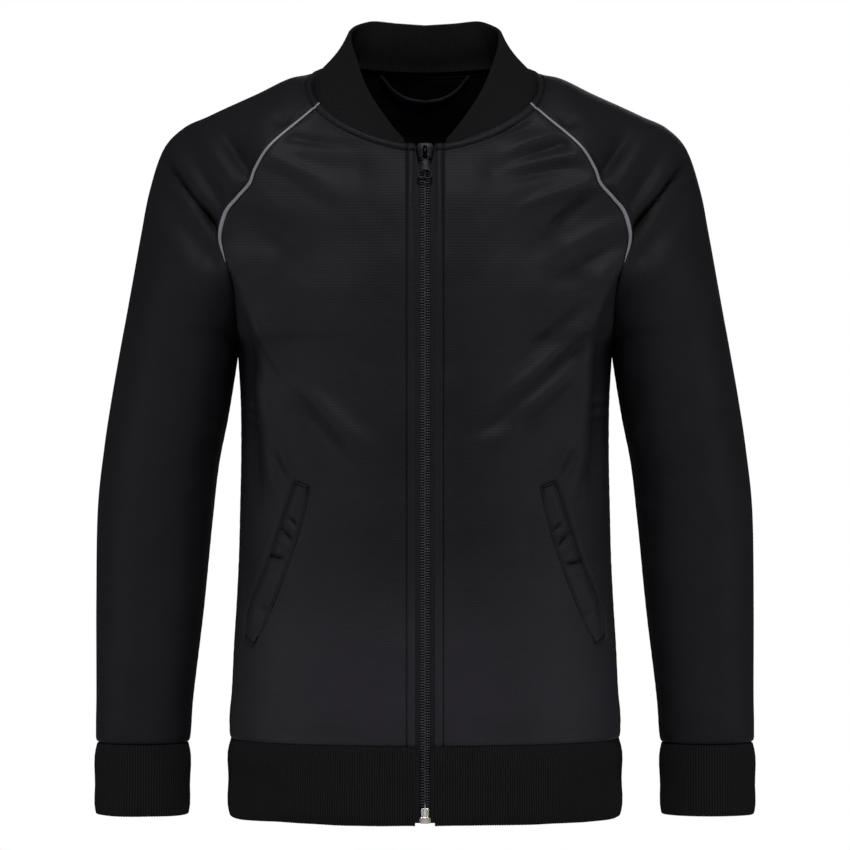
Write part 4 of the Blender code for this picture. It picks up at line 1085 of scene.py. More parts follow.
# Puckers across the welt where the pocket's weight pulls it.
WELT_PUCKERS = (
    # x, z, to_x, to_z, bow, width, height, lean
    (122, -402, 110, -417, 0, 1.7, -2.2, 0),
    (123, -408, 111, -423, 0, 1.8, 1.2, 0),
    (128, -412, 114, -431, 0, 2, -2.6, 0),
    (131, -420, 117, -437, 0, 2, 1.3, 0),
    (118, -444, 140, -440.5, 0, 2, -2.6, 0),
    (124, -452, 143, -449, 0, 3, 1, 0),
    (148, -486, 134, -492, 0, 3, -1.2, 0),
)
WELT_STITCH = 1.7      # the stitching lies this far inside the welt's inner edge
WELT_THICK = 1.5
WELT_SIZE = (150.0, 20.0)      # its length and its width, for the spacing of its points
WELT_WAVES = 0.2
WELT_SWELL = 1.3       # it rises this much more towards its open edge
PUCKER_SHIFT = 2.5     # the left welt's puckers lie this much lower, and the right's higher
WELT_DEEP = 2.6        # a pucker this deep gets nearly black painted shade inside


def ray_caster(piece):
    """A function that finds a piece's front surface behind a place seen from the front."""
    mesh = piece.data
    tree = BVHTree.FromPolygons([vertex.co for vertex in mesh.vertices],
                                [face.vertices[:] for face in mesh.polygons])

    def cast(x, z):
        return np.array(tree.ray_cast(Vector((x * MM, -1.0, z * MM)), Vector((0.0, 1.0, 0.0)))[0]) / MM

    return cast


# Places of the welt as seen from the front, from its lower end up and from its stitched edge outward.
welt_edges = welt_at(1 - graded(1.0, CLOSE / WELT_SIZE[0], 90, CLOSE / WELT_SIZE[0]))
welt_columns = graded(1.0, CLOSE / WELT_SIZE[1], 12, CLOSE[:4] / WELT_SIZE[1])
welt_spots = (welt_edges[:, None, 2:]
              + (welt_edges[:, None, :2] - welt_edges[:, None, 2:]) * welt_columns[None, :, None])
for word, side in SIDES:
    cast = ray_caster(bpy.data.objects[f"front_{word}_cloth"])
    base = mirrored(np.array([[cast(side * x, z) for x, z in row] for row in welt_spots]), side)
    # The strip spans the panel's small hollows, so its own form is smoother than what lies under it.
    for _ in range(14):
        base[1:-1] = (base[:-2] + base[1:-1] + base[2:]) / 3
    out = grid_outward(base)
    left, right, low, top = edge_gaps(base)
    ends = np.minimum(low, top)
    rise = WELT_HIGH * np.sqrt(np.clip(np.minimum(left, ends) / 1.8, 0.04, 1))
    rise += WELT_SWELL * smooth_step((left - 4.0) / (left + right - 4.0)) * smooth_step(ends / 20.0)
    rise -= 1.1 * np.exp(-((left - WELT_STITCH) / 0.8) ** 2) + 0.5 * np.exp(-(right / 0.9) ** 2)
    rise += PUCKER[0] * ripple(low) * np.exp(-((left - 4.0) / 3.0) ** 2)
    rise += drape(base, WELT_WAVES, seed=11)
    puckers = crease_lift(base * np.array([1, 0, 1]) + (0, 0, PUCKER_SHIFT * side), out, WELT_PUCKERS,
                          reach=0.5)
    # Painted shade inside the puckers and along the welt's open edge and its two ends.
    shade = np.maximum(deep_shade(puckers, WELT_DEEP),
                       0.96 * np.exp(-(np.minimum(right, ends) / 0.9) ** 2))
    skin = base + (rise + puckers)[..., None] * out
    piece = cloth(f"welt_{word}_cloth", skin, out, WELT_THICK, np.stack([left, low], axis=-1) * MM,
                  [shell_tricot, tricot_back], side, shade=shade)
    dress(piece, "shell_tricot", f"welt_{word}")
    stitched = int(np.argmin(abs(left[len(left) // 2] - WELT_STITCH)))
    stitches(f"welt_{word}_stitching", [mirrored(skin[2:-2, stitched], side)], pitch=2.6, length=1.9)
    bars = [skin[3, 2:-4], skin[-4, 3:-2], skin[2:9, 2], skin[-9:-2, 3]]
    stitches(f"welt_{word}_bars", [mirrored(bar, side) for bar in bars], pitch=0.55, length=1.7,
             turned=math.pi / 2)


# --------------------------------------------------------------------------------------------- collar
# A low collar of doubled rib knit, folded at its top edge and sewn into the neck. Its ribs stand square
# to the edge, and it narrows to a point at each side of the zip.

RIB = 2.6              # thickness of the doubled rib knit
RIB_PITCH = 2.2        # the real ribs are about half as wide, too fine to show
RIB_DEPTH = 0.5
COLLAR_DIP = 3.0       # how far the collar is hollowed between its seam and its fold
COLLAR_UNDER = 1.5     # its raw edge reaches this far under the panels' turned edges
COLLAR_WAVES = 0.35

# The collar's folded top edge, from the zip to the middle of the back.
COLLAR_TOP = (
    # x, y, z
    (18.9, -90.5, -73),
    (28.6, -88, -61.6),
    (38, -80.5, -47.8),
    (49.3, -67, -29),
    (58.3, -51, -8.4),
    (63.5, -32, 9),
    (68, -6, 24.5),
    (67.5, 20, 34.5),
    (60.5, 40, 41),
    (49, 54, 45),
    (25, 60, 43.5),
    (0, 61.5, 42),
)
collar_top_at = curve(arc_shares(np.array(COLLAR_TOP)), COLLAR_TOP)


# Rib knit: matt yarn, with painted shade in its grooves: the colour runs from near black in the grooves to
# dark grey on the crests.
rib_knit, rib_material_tree, rib_shader = new_material("black rib knit")
crests = node(rib_material_tree, "ShaderNodeAttribute", attribute_name="rib").outputs["Fac"]
spot = node(rib_material_tree, "ShaderNodeTexCoord").outputs["Object"]
fuzz = node(rib_material_tree, "ShaderNodeTexNoise", {"Vector": spot, "Scale": 900.0, "Detail": 3.0})
tone = node(rib_material_tree, "ShaderNodeMath", {0: fuzz, 1: 0.6, 2: -0.2}, operation="MULTIPLY_ADD")
tone = node(rib_material_tree, "ShaderNodeMath", {0: crests, 1: 0.7, 2: tone}, operation="MULTIPLY_ADD")
tone = node(rib_material_tree, "ShaderNodeMix",
            {"Factor": tone, "A": linear("#030303"), "B": linear("#232323")}, data_type="RGBA")
bump = node(rib_material_tree, "ShaderNodeBump", {"Height": fuzz, "Distance": 0.4 * MM, "Strength": 0.6})
fill(rib_material_tree, rib_shader, {"Base Color": tone, "Normal": bump, "Roughness": 0.9,
                                     "Specular IOR Level": 0.08})

rib_tree, sizes, result = geometry_tree("ribs of the knit", ("Rib depth",))
crest = node(rib_tree, "GeometryNodeInputNamedAttribute", {"Name": "rib"}, data_type="FLOAT")
height = node(rib_tree, "ShaderNodeMath", {0: crest, 1: sizes.outputs["Rib depth"]}, operation="MULTIPLY")
offset = node(rib_tree, "ShaderNodeVectorMath",
              {0: node(rib_tree, "GeometryNodeInputNormal"), "Scale": height}, operation="SCALE")
moved = node(rib_tree, "GeometryNodeSetPosition",
             {"Geometry": sizes.outputs["Geometry"], "Offset": offset})
fill(rib_tree, result, {0: node(rib_tree, "GeometryNodeSetMaterial",
                                {"Geometry": moved, "Material": rib_knit})})


def rib_count(length):
    """Columns for a band: four to each rib."""
    return 4 * int(round(length / RIB_PITCH)) + 1


def rib_band(name, outer, stands_for, side=1, joined=False, out=None):
    """A doubled band from its outer skin, whose last row is its fold, with ribs raised on its columns."""
    out = grid_outward(outer) if out is None else out
    if joined:
        out[:, 0] = out[:, -1] = unit(out[:, 0] + out[:, -1])
    rows, columns = outer.shape[:2]
    fold_way = unit(outer[-1] - outer[-2])
    turns = np.linspace(0, math.pi, 6)[1:-1]
    centre = outer[-1] - RIB / 2 * out[-1]
    fold = [centre + RIB / 2 * (math.cos(turn) * out[-1] + 0.8 * math.sin(turn) * fold_way)
            for turn in turns]
    profile = np.concatenate([outer, np.array(fold), (outer - RIB * out)[::-1]])
    ids = np.arange(profile.shape[0] * columns).reshape(-1, columns)
    if joined:
        ids[:, -1] = ids[:, 0]
    faces = [quads(ids), quads(np.array([ids[-1], ids[0]]))]
    if not joined:
        # Both ends are closed, first between the two walls and then within the fold.
        for end in (0, -1):
            near, far = ids[:rows, end], ids[::-1, end][:rows]
            faces.append(np.stack([near[:-1], near[1:], far[1:], far[:-1]], axis=1))
        for end in (0, -1):
            around = ids[rows - 1:rows + len(turns) + 1, end]
            faces += [around[[place, place + 1, -2 - place, -1 - place]][None]
                      for place in range(len(around) // 2 - 1)]
    faces = np.concatenate(faces)
    phase = np.arange(columns) % 4 / 4
    crests = np.broadcast_to(1 - (2 * phase - 1) ** 2, profile.shape[:2]).reshape(-1)[np.unique(faces)]
    piece = solid(name, profile.reshape(-1, 3), faces, [rib_knit], side, sharp=75.0)
    piece.data.attributes.new("rib", "FLOAT", "POINT").data.foreach_set("value", crests)
    return dress(bake(piece, rib_tree, {"Rib depth": RIB_DEPTH * MM}), "rib_knit", stands_for)


def spread_along(points, count):
    """Points at even distances along a row."""
    shares = arc_shares(points)
    even = np.linspace(0, 1, count)
    return np.stack([np.interp(even, shares, points[:, axis]) for axis in range(3)], axis=1)


collar_seam = np.vstack([panel_row(2.0, 0.1 + 0.9 * FINE, True), neck_side_at(FINE)[1:],
                         panel_row(2.0, FINE[::-1], False)[1:]])
collar_count = rib_count(travelled(collar_seam)[-1])
collar_base = spread_along(collar_seam, collar_count)
collar_fold = collar_top_at(np.linspace(0, 1, collar_count))
collar_base = np.concatenate([collar_base, mirrored(collar_base)[-2::-1]])
collar_fold = np.concatenate([collar_fold, mirrored(collar_fold)[-2::-1]])
collar_width = np.linalg.norm(collar_fold - collar_base, axis=1, keepdims=True)
collar_dip = COLLAR_DIP * collar_width / collar_width.max() * unit(collar_base * np.array([1.0, 1.0, 0.0]))
collar_rows = np.array([0.0, 0.03, 0.07, 0.14, 0.23, 0.33, 0.44, 0.55, 0.66, 0.76, 0.85, 0.92, 0.965])
collar_skin = np.array([collar_base + (collar_fold - collar_base) * rise
                        - (math.sin(math.pi * rise) + 0.35 * math.exp(-(rise / 0.05) ** 2)) * collar_dip
                        for rise in collar_rows])
collar_out = grid_outward(collar_skin)
collar_lift = drape(collar_skin, COLLAR_WAVES, seed=5) * np.minimum(1, collar_width.T / 15.0)
collar_skin = collar_skin + collar_lift[..., None] * collar_out
# Its lower edge meets the panels' edges, so it turns there to the direction that they face.
half_back = back_out.shape[1] // 2 + 1
seam_out = np.vstack([front_out[-1], sleeve_out[-1], back_out[-1, :half_back]])
nearest = finder(np.vstack([front_base[-1], sleeve_base[-1], back_base[-1, :half_back]]))
half_out = np.array([seam_out[nearest.find(spot)[1]] for spot in collar_base[:collar_count]])
panels_out = np.concatenate([half_out, mirrored(half_out)[-2::-1]])
turned = np.exp(-(collar_rows / 0.1) ** 2)[:, None, None]
collar_out = unit(collar_out * (1 - turned) + panels_out * turned)
collar_skin[0] -= COLLAR_UNDER * unit(collar_skin[1] - collar_skin[0])
collar = rib_band("collar_rib", collar_skin, "collar", out=collar_out)


# -------------------------------------------------------------------------------------------- hem rib
# The hem band, doubled rib knit folded at its lower edge. It is a little shorter than the body it is
# sewn to, so the cloth above it puffs out.

HEM_UNDER = 1.0        # its raw edge reaches this far up behind the panels' turned edges
HEM_WAVES = 0.5
HEM_SECTIONS = (
    # z, half_width, front_y, back_y, pull
    (-674, 174.8, -117.6, 112, 1.78),
    (-670, 176, -118.6, 113, 1.78),
    (-640, 176.4, -118.6, 113.5, 1.78),
    (-612, 176.2, -118.6, 113, 1.78),
    (-605, 174.1, -117, 111, 1.78),
)
HEM_ROWS = np.array([-605.4, -606.4, -608.0, -611.0, -617.0, -624.0, -632.0, -640.0, -648.0, -656.0,
                     -664.0, -669.5, -672.6])
HEM_CREASES = (
    # x, z, to_x, to_z, bow, width, height, lean
    (-92, -638, 4, -606, -2, 4.5, -3, 0),
    (-88, -648, 2, -616, -2, 5, 2.2, 0),
    (90, -636, -4, -605, 2, 4.5, -3, 0),
    (84, -645, -2, -615, 2, 5, 2.1, 0),
    (-150, -622, -96, -640, 2, 8, 0.9, 0),
    (148, -626, 92, -646, -2, 8, 0.9, 0),
)
hem_at = table_curve(HEM_SECTIONS)


def hem_row(z, along):
    """The left half of the hem at one height, from the zip to the middle of the back."""
    half_width, front_y, back_y, pull = hem_at(z)
    side = np.array([half_width, 0.0, z])
    front = pulled_row(np.array([ZIP_EDGE, front_y, z]), np.array([pull * (half_width - ZIP_EDGE), 0, 0]),
                       side, np.array([0.0, -pull * front_y, 0.0]), along)
    back = pulled_row(side, np.array([0.0, BODY_BACK_PULL * back_y, 0.0]), np.array([0.0, back_y, z]),
                      np.array([-BODY_BACK_PULL * half_width, 0.0, 0.0]), along)
    return np.concatenate([front, back[1:]])


hem_count = rib_count(travelled(hem_row(-640.0, FINE))[-1])
hem_half = np.array([spread_along(hem_row(z, FINE), hem_count) for z in HEM_ROWS])
hem_skin = np.concatenate([hem_half, mirrored(hem_half)[:, -2::-1]], axis=1)
# Turned so that its columns run anticlockwise when its rows go down to the fold.
hem_skin = hem_skin[:, ::-1]
hem_out = grid_outward(hem_skin)
hem_lift = crease_lift(hem_skin, hem_out, HEM_CREASES) + drape(hem_skin, HEM_WAVES, seed=3)
hem_lift *= smooth_step((-604.0 - hem_skin[..., 2]) / 12.0)
hem_skin = hem_skin + hem_lift[..., None] * hem_out
hem_skin[0, :, 2] += HEM_UNDER
hem = rib_band("hem_band", hem_skin, "hem_rib")


# ---------------------------------------------------------------------------------------------- cuffs
# Doubled rib knit tubes sewn to the sleeves' ends, folded at their lower edge like the hem.

CUFF_ROUND = 245.0     # its length round the wrist
CUFF_WAVES = 0.45
CUFF_SECTIONS = (
    # z, mid_x, half_width, half_depth
    (-671.7, 253.6, 40.9, 34.4),
    (-667, 253.6, 41.9, 35.2),
    (-645, 253.4, 42.1, 35.8),
    (-614.5, 253.1, 42, 36.8),
    (-607.7, 253, 40.4, 36.7),
)
CUFF_ROWS = np.array([-608.0, -609.0, -611.0, -614.5, -620.0, -628.0, -637.0, -646.0, -655.0, -663.0,
                      -668.0, -670.4])
cuff_at = table_curve(CUFF_SECTIONS)
cuff_turns = -np.linspace(0, 2 * math.pi, rib_count(CUFF_ROUND))


def cuff_row(z):
    """One level ring of the left cuff."""
    mid_x, half_width, half_depth = cuff_at(z)
    return np.stack([mid_x + half_width * np.cos(cuff_turns), CUFF_Y + half_depth * np.sin(cuff_turns),
                     np.full(len(cuff_turns), z)], axis=1)


cuff_base = np.array([cuff_row(z) for z in CUFF_ROWS])
cuff_out = grid_outward(cuff_base)
for word, side in SIDES:
    lift = drape(mirrored(cuff_base, side), CUFF_WAVES, seed=13)
    lift *= smooth_step((-607.0 - cuff_base[..., 2]) / 10.0)
    lift[:, -1] = lift[:, 0]
    skin = cuff_base + lift[..., None] * cuff_out
    piece = rib_band(f"cuff_{word}_rib", skin, f"cuff_{word}", side, joined=True)


# ---------------------------------------------------------------------------------------- zip, tapes
# Woven polyester tapes behind the front edges, stitched to them. Above the slider they part a little.

TAPE_TOP_Z = -77.6
TAPE_LOW_Z = -671.2
TAPE_X = (0.4, 14.0)
TAPE_SPREAD = 2.4      # above the slider the two tapes part by this on each side
TAPE_SPREAD_Z = (-90.0, -79.0)
TAPE_THICK = 0.8
LAID_GAP = 0.3         # what lies on a panel stands this far off it
TAPE_SHADE = (0.0046, 0.0056)  # under the coil the tape lies in shade: metres from the middle

# A fine twill: short slanting floats of dark yarn over a darker ground.
zip_tape, tape_tree, tape_shader = new_material("woven zip tape")
place, floats, tone = slanting_weave(tape_tree, 1.6, 1.8, 0.45, "#0b0d13", "#191c24")
bump = node(tape_tree, "ShaderNodeBump", {"Height": floats, "Distance": 0.2 * MM, "Strength": 0.6})
aside = node(tape_tree, "ShaderNodeMath", {0: place["X"]}, operation="ABSOLUTE")
aside = node(tape_tree, "ShaderNodeMapRange",
             {"Value": aside, "From Min": TAPE_SHADE[0], "From Max": TAPE_SHADE[1]})
tone = node(tape_tree, "ShaderNodeMix", {"Factor": aside, "A": linear("#010101"), "B": tone},
            data_type="RGBA")
fill(tape_tree, tape_shader, {"Base Color": tone, "Normal": bump, "Roughness": 0.75,
                              "Specular IOR Level": 0.3})


def front_edge_y(z):
    """Depth of the front panels' skin at the zip."""
    return float(front_centre_at(z)[0] if z > UNDERARM_Z else body_at(z)[1])


def tape_front_y(z):
    """Depth of the tapes' front face, just behind the cloth that is sewn to them."""
    return front_edge_y(z) + np.interp(z, (-607.0, -603.0), (RIB, SHELL)) + LAID_GAP


tape_heights = np.linspace(TAPE_LOW_Z, TAPE_TOP_Z, 300)
tape_shares = np.array([0.0, 0.06, 0.2, 0.3, 0.36, 0.42, 0.6, 0.8, 1.0])
tape_skin = np.array([[(TAPE_X[0] + parted + (TAPE_X[1] - TAPE_X[0] - parted) * share,
                        tape_front_y(z) - 0.25 * math.exp(-((share - 0.36) / 0.05) ** 2), z)
                       for share in tape_shares]
                      for z in tape_heights
                      for parted in [TAPE_SPREAD * np.interp(z, TAPE_SPREAD_Z, (0.0, 1.0))]])
tape_out = np.broadcast_to(np.array([0.0, -1.0, 0.0]), tape_skin.shape)
for word, side in SIDES:
    piece = cloth(f"zip_tape_{word}_woven", tape_skin, tape_out, TAPE_THICK, tape_skin[..., [0, 2]] * MM,
                  [zip_tape, zip_tape], side)
    dress(piece, "zip_tape", f"zip_tape_{word}")


# ----------------------------------------------------------------------------------------- zip teeth
# A coil zip: round bars of dark plastic reach from both tapes and lock head to head in the middle. They
# are drawn about half as thick again as real ones, which are too fine to show.

TOOTH_PITCH = 2.3
TOOTH_REACH = 4.4
TOOTH_BAR = 0.52       # half thickness of a bar
HEAD_BARS = (3.4, 2.7, 2.1)    # size of a head, in half thicknesses of its bar
CHAIN_TOP_Z = -79.0
CHAIN_LOW_Z = -657.7

# Smooth drawn plastic: a small bright glint on every head.
coil_plastic = clouded("dark coil plastic", "#131315", "#404044", 400.0,
                       {"Roughness": 0.32, "Specular IOR Level": 0.55})

tooth_tree, sizes, result = geometry_tree("zip teeth", ("Pitch", "Reach", "Bar"))
bar = node(tooth_tree, "GeometryNodeMeshCylinder",
           {"Vertices": 8, "Radius": sizes.outputs["Bar"], "Depth": sizes.outputs["Reach"]})
middle = node(tooth_tree, "ShaderNodeMath", {0: sizes.outputs["Reach"], 1: 0.52}, operation="MULTIPLY")
shift = node(tooth_tree, "ShaderNodeCombineXYZ", {"X": middle})
bar = node(tooth_tree, "GeometryNodeTransform",
           {"Geometry": bar, "Translation": shift, "Rotation": (0.0, math.pi / 2, 0.0)})
head = node(tooth_tree, "GeometryNodeMeshUVSphere", {"Segments": 8, "Rings": 5, "Radius": 0.5})
head_size = node(tooth_tree, "ShaderNodeVectorMath", {0: HEAD_BARS, "Scale": sizes.outputs["Bar"]},
                 operation="SCALE")
head = node(tooth_tree, "GeometryNodeTransform",
            {"Geometry": head, "Translation": (0.1 * MM, -0.1 * MM, 0.0), "Scale": head_size})
tooth = node(tooth_tree, "GeometryNodeJoinGeometry", {0: bar})
fill(tooth_tree, tooth, {0: head})
# The other tape's tooth is turned round, half a pitch higher and a little further forward.
half_pitch = node(tooth_tree, "ShaderNodeMath", {0: sizes.outputs["Pitch"], 1: 0.5}, operation="MULTIPLY")
rise = node(tooth_tree, "ShaderNodeCombineXYZ", {"Z": half_pitch})
other = node(tooth_tree, "GeometryNodeTransform",
             {"Geometry": tooth, "Rotation": (0.0, 0.0, math.pi), "Translation": rise})
other = node(tooth_tree, "GeometryNodeTransform", {"Geometry": other, "Translation": (0.0, -0.2 * MM, 0.0)})
pair = node(tooth_tree, "GeometryNodeJoinGeometry", {0: tooth})
fill(tooth_tree, pair, {0: other})
upright = node(tooth_tree, "FunctionNodeAlignRotationToVector",
               {"Vector": node(tooth_tree, "GeometryNodeInputTangent")}, axis="Z")
placed = node(tooth_tree, "GeometryNodeInstanceOnPoints",
              {"Points": path_steps(tooth_tree, sizes), "Instance": pair, "Rotation": upright})
made_real(tooth_tree, result, placed, coil_plastic)

chain_path = [(0.0, (tape_front_y(z) + front_edge_y(z)) / 2 - 0.45, z)
              for z in np.linspace(CHAIN_LOW_Z + 0.6, CHAIN_TOP_Z - 1.4, 400)]
teeth = bake(path_object("zip_coil", [chain_path]), tooth_tree,
             {"Pitch": TOOTH_PITCH * MM, "Reach": TOOTH_REACH * MM, "Bar": TOOTH_BAR * MM})
dress(teeth, "zip_teeth", "zip_chain")


# -------------------------------------------------------------------------------------------- slider
# A cast slider in black nickel: two plates joined by a post, side flanges that close on the coil, and
# a domed bridge that holds the pull tab.

HINGE_Z = -87.6
HINGE_Y = -4.25
SLIDER_Z = (-3.2, 12.7)
SLIDER_X = (6.0, 8.2)
PLATE_Y = (-2.9, -1.1)
BACK_PLATE_Y = (3.2, 4.6)
POST_X = 2.0
POST_Z = (11.3, 12.7)

METAL = {"Roughness": 0.3, "Metallic": 1.0}

# Black nickel: an even dark gloss with the faint cloudiness of tumbled castings.
black_nickel = clouded("black nickel", "#08080a", "#121214", 260.0, METAL, detail=3.0)


def seated(points):
    """Points of the slider's own frame, put on the leaning zip with the tab's hinge at their origin."""
    fall = front_edge_y(HINGE_Z + 5) - front_edge_y(HINGE_Z - 10)
    lean = -math.atan2(fall, 15.0)
    turn = np.array([[1.0, 0.0, 0.0], [0.0, math.cos(lean), -math.sin(lean)],
                     [0.0, math.sin(lean), math.cos(lean)]])
    skin = np.array([0.0, front_edge_y(HINGE_Z), HINGE_Z])
    hinge = skin + HINGE_Y * np.array([0.0, math.cos(lean), math.sin(lean)])
    return np.asarray(points) @ turn.T + hinge


def plate_mesh(outlines, depths, rounding):
    """A flat plate from its outline and its holes, in x and z, with rounded edges: points and faces."""
    drawing = bpy.data.curves.new("plate outline", "CURVE")
    drawing.dimensions = "2D"
    drawing.fill_mode = "BOTH"
    drawing.extrude = (depths[1] - depths[0]) / 2 - rounding
    drawing.bevel_depth = rounding
    drawing.bevel_resolution = 2
    drawing.offset = -rounding
    for outline in outlines:
        spline = drawing.splines.new("POLY")
        spline.points.add(len(outline) - 1)
        for point, (x, z) in zip(spline.points, outline):
            point.co = (x, z, 0.0, 1.0)
        spline.use_cyclic_u = True
    stand = linked("plate outline", drawing)
    bpy.context.view_layer.update()
    mesh = bpy.data.meshes.new_from_object(stand.evaluated_get(bpy.context.evaluated_depsgraph_get()))
    points = np.array([(v.co.x, (depths[0] + depths[1]) / 2 - v.co.z, v.co.y) for v in mesh.vertices])
    faces = [tuple(face.vertices) for face in mesh.polygons]
    bpy.data.objects.remove(stand, do_unlink=True)
    bpy.data.meshes.remove(mesh)
    return points, faces


def rod_mesh(sections):
    """A rod through closed sections: points and faces."""
    count, corners = sections.shape[:2]
    ids = np.arange(count * corners).reshape(count, corners)
    ids = np.concatenate([ids, ids[:, :1]], axis=1)
    faces = [tuple(face) for face in quads(ids)]
    return sections.reshape(-1, 3), faces + [tuple(ids[0, :-1][::-1]), tuple(ids[-1, :-1])]


def cast_piece(name, parts, material, place=seated):
    """One metal piece from several closed parts, put in its place."""
    points, faces = [], []
    for part_points, part_faces in parts:
        faces += [tuple(number + len(points) for number in face) for face in part_faces]
        points += list(place(part_points))
    return closed_piece(name, np.array(points), faces, [material], sharp=35.0, merge=True)


def rounded(corners, radius, steps=5):
    """An outline through corners, each drawn as a short curve."""
    corners = np.array(corners, float)
    points = []
    for before, here, after in zip(np.roll(corners, 1, axis=0), corners, np.roll(corners, -1, axis=0)):
        reach = [min(radius, np.linalg.norm(end - here) / 2) * unit(end - here) for end in (before, after)]
        for share in np.linspace(0, 1, steps):
            points.append(here + (1 - share) ** 2 * reach[0] + share ** 2 * reach[1])
    return points


def both_sides(right):
    return right + [(-x, z) for x, z in right[::-1]]


def box_corners(xs, zs):
    """The four corners of a box seen from the front, from its low first corner round."""
    return [(xs[0], zs[0]), (xs[1], zs[0]), (xs[1], zs[1]), (xs[0], zs[1])]


foot, head_z = SLIDER_Z
low_x, high_x = SLIDER_X
plate_outline = rounded(both_sides([(low_x, foot), (low_x + 0.6, foot + 5.0), (high_x, head_z - 4.5),
                                    (high_x - 1.6, head_z - 0.6), (2.4, head_z)]), 1.8)
flange = rounded([(low_x - 1.1, foot + 0.3), (low_x - 0.1, foot + 0.3),
                  (high_x - 0.6, head_z - 4.6), (high_x - 1.7, head_z - 4.6)], 0.5)
front_depths = [depth - HINGE_Y for depth in PLATE_Y]
back_depths = [depth - HINGE_Y for depth in BACK_PLATE_Y]

# The bridge over the hinge, from its foot below to its foot above.
BRIDGE = (
    # z, y, half_width, half_thick
    (-2.6, 1.7, 1.3, 0.6),
    (-2.2, 0, 1.4, 0.6),
    (-1.1, -1.4, 1.6, 0.6),
    (1, -2.25, 1.8, 0.6),
    (3.2, -2.5, 1.9, 0.6),
    (5.8, -2.15, 1.8, 0.6),
    (7.9, -1.1, 1.6, 0.6),
    (9, 0.3, 1.4, 0.6),
    (9.3, 1.7, 1.3, 0.6),
)


def bridge_sections(count=26, corners=12):
    """Sections along the domed bridge, with flattened sides."""
    table = np.array(BRIDGE)
    rows = curve(arc_shares(table[:, :2]), table)(np.linspace(0, 1, count))
    ways = unit(np.gradient(rows[:, :2], axis=0))
    turns = round_turns(corners)
    sections = []
    for (z, y, wide, thick), (way_z, way_y) in zip(rows, ways):
        across = np.sign(np.cos(turns)) * np.abs(np.cos(turns)) ** 0.7 * wide
        deep = np.sin(turns) * thick
        sections.append(np.stack([across, y + deep * way_z, z - deep * way_y], axis=1))
    return np.array(sections)


post = rounded(box_corners((-POST_X, POST_X), (POST_Z[0], POST_Z[1] - 0.1)), 0.4)
parts = [plate_mesh([plate_outline], front_depths, 0.6),
         plate_mesh([plate_outline], back_depths, 0.5),
         plate_mesh([post], (front_depths[1] - 0.4, back_depths[0] + 0.4), 0.1),
         rod_mesh(bridge_sections())]
for depths in ((front_depths[1] - 0.5, front_depths[1] + 1.1), (back_depths[0] - 1.0, back_depths[0] + 0.4)):
    parts += [plate_mesh([[(side * x, z) for x, z in flange]], depths, 0.2) for side in (1, -1)]
dress(cast_piece("slider_casting", parts, black_nickel), "black_nickel", "zip_slider")


# ------------------------------------------------------------------------------------------ pull tab
# The pull tab, stamped in the same metal: an eye round the bridge, a neck that widens, and an oval
# ring to grip. It swings on the bridge, and its face is bare.

TAB_THICK = 1.4
TAB_SIDE = (
    # x, z: the edge from the hinge down to the ring
    (3.3, 0.7),
    (3.3, -3.8),
    (2.9, -5.6),
    (3.8, -9),
    (4.2, -12.4),
    (4.6, -13.9),
)
TAB_SLOT = (2.1, 3.6)
TAB_RING = (7.0, 5.5)
TAB_RING_HOLE = (5.3, 3.8)
TAB_RING_Z = -18.7


def oval(half_width, half_height, mid_z, count=48):
    return [(half_width * math.cos(turn), mid_z + half_height * math.sin(turn))
            for turn in (2 * math.pi * step / count for step in range(count))]


edge_at = table_curve([(place, *spot) for place, spot in enumerate(TAB_SIDE[1:])])
tab_side = [TAB_SIDE[0], *edge_at(np.linspace(0, len(TAB_SIDE) - 2, 14)).tolist()]
ring = [(x, z) for x, z in oval(*TAB_RING, TAB_RING_Z) if z < TAB_SIDE[-1][1] - 0.3]
ring.sort(key=lambda spot: math.atan2(spot[0], spot[1] - TAB_RING_Z) % (2 * math.pi))
tab_outline = tab_side + ring + [(-x, z) for x, z in tab_side[::-1]]
slot = rounded(box_corners((-TAB_SLOT[0], TAB_SLOT[0]), (-TAB_SLOT[1], -TAB_THICK / 2)), 0.5)
hole = oval(*TAB_RING_HOLE, TAB_RING_Z, 40)
tab = cast_piece("pull_tab", [plate_mesh([tab_outline, slot, hole], (-TAB_THICK / 2, TAB_THICK / 2), 0.28)],
                 black_nickel)
dress(tab, "black_nickel", "zip_pull", body="pull")


# -------------------------------------------------------------------------------- bottom of the zip
# The fittings of an open-ended zip in bright nickel: an insertion pin on each side, side by side, and
# the box that holds them.

PINS_Z = (-665.4, -658.0)
PINS_X = 3.5
BOX_Z = (-671.4, -665.7)
BOX_X = 4.8
FITTINGS_Y = (-1.5, 1.5)

# Bright nickel: a warm light gloss that shows where the zip ends.
bright_nickel = clouded("bright nickel", "#b5b1aa", "#d8d4cc", 260.0, {**METAL, "Roughness": 0.24},
                        detail=3.0)
fittings_y = front_edge_y(sum(BOX_Z) / 2)
fitting_depths = [fittings_y + depth for depth in FITTINGS_Y]
pins = [plate_mesh([rounded(box_corners((side * 0.25, side * PINS_X), PINS_Z), 0.9)], fitting_depths, 0.55)
        for side in (1, -1)]
box = plate_mesh([rounded(box_corners((-BOX_X, BOX_X), BOX_Z), 1.6)], fitting_depths, 0.7)
dress(cast_piece("pins_bright", pins, bright_nickel, place=list), "nickel", "zip_pins")
dress(cast_piece("box_bright", [box], bright_nickel, place=list), "nickel", "zip_box")


# ---------------------------------------------------------------------------------------- hanger loop
# A loop of the tape's yarn inside the back neck, caught at both ends in the neck seam.

LOOP = (
    # x, z, seen from the front
    (40, -4.5),
    (31, -15.5),
    (17, -24),
    (0, -27),
)
LOOP_RADIUS = 1.7


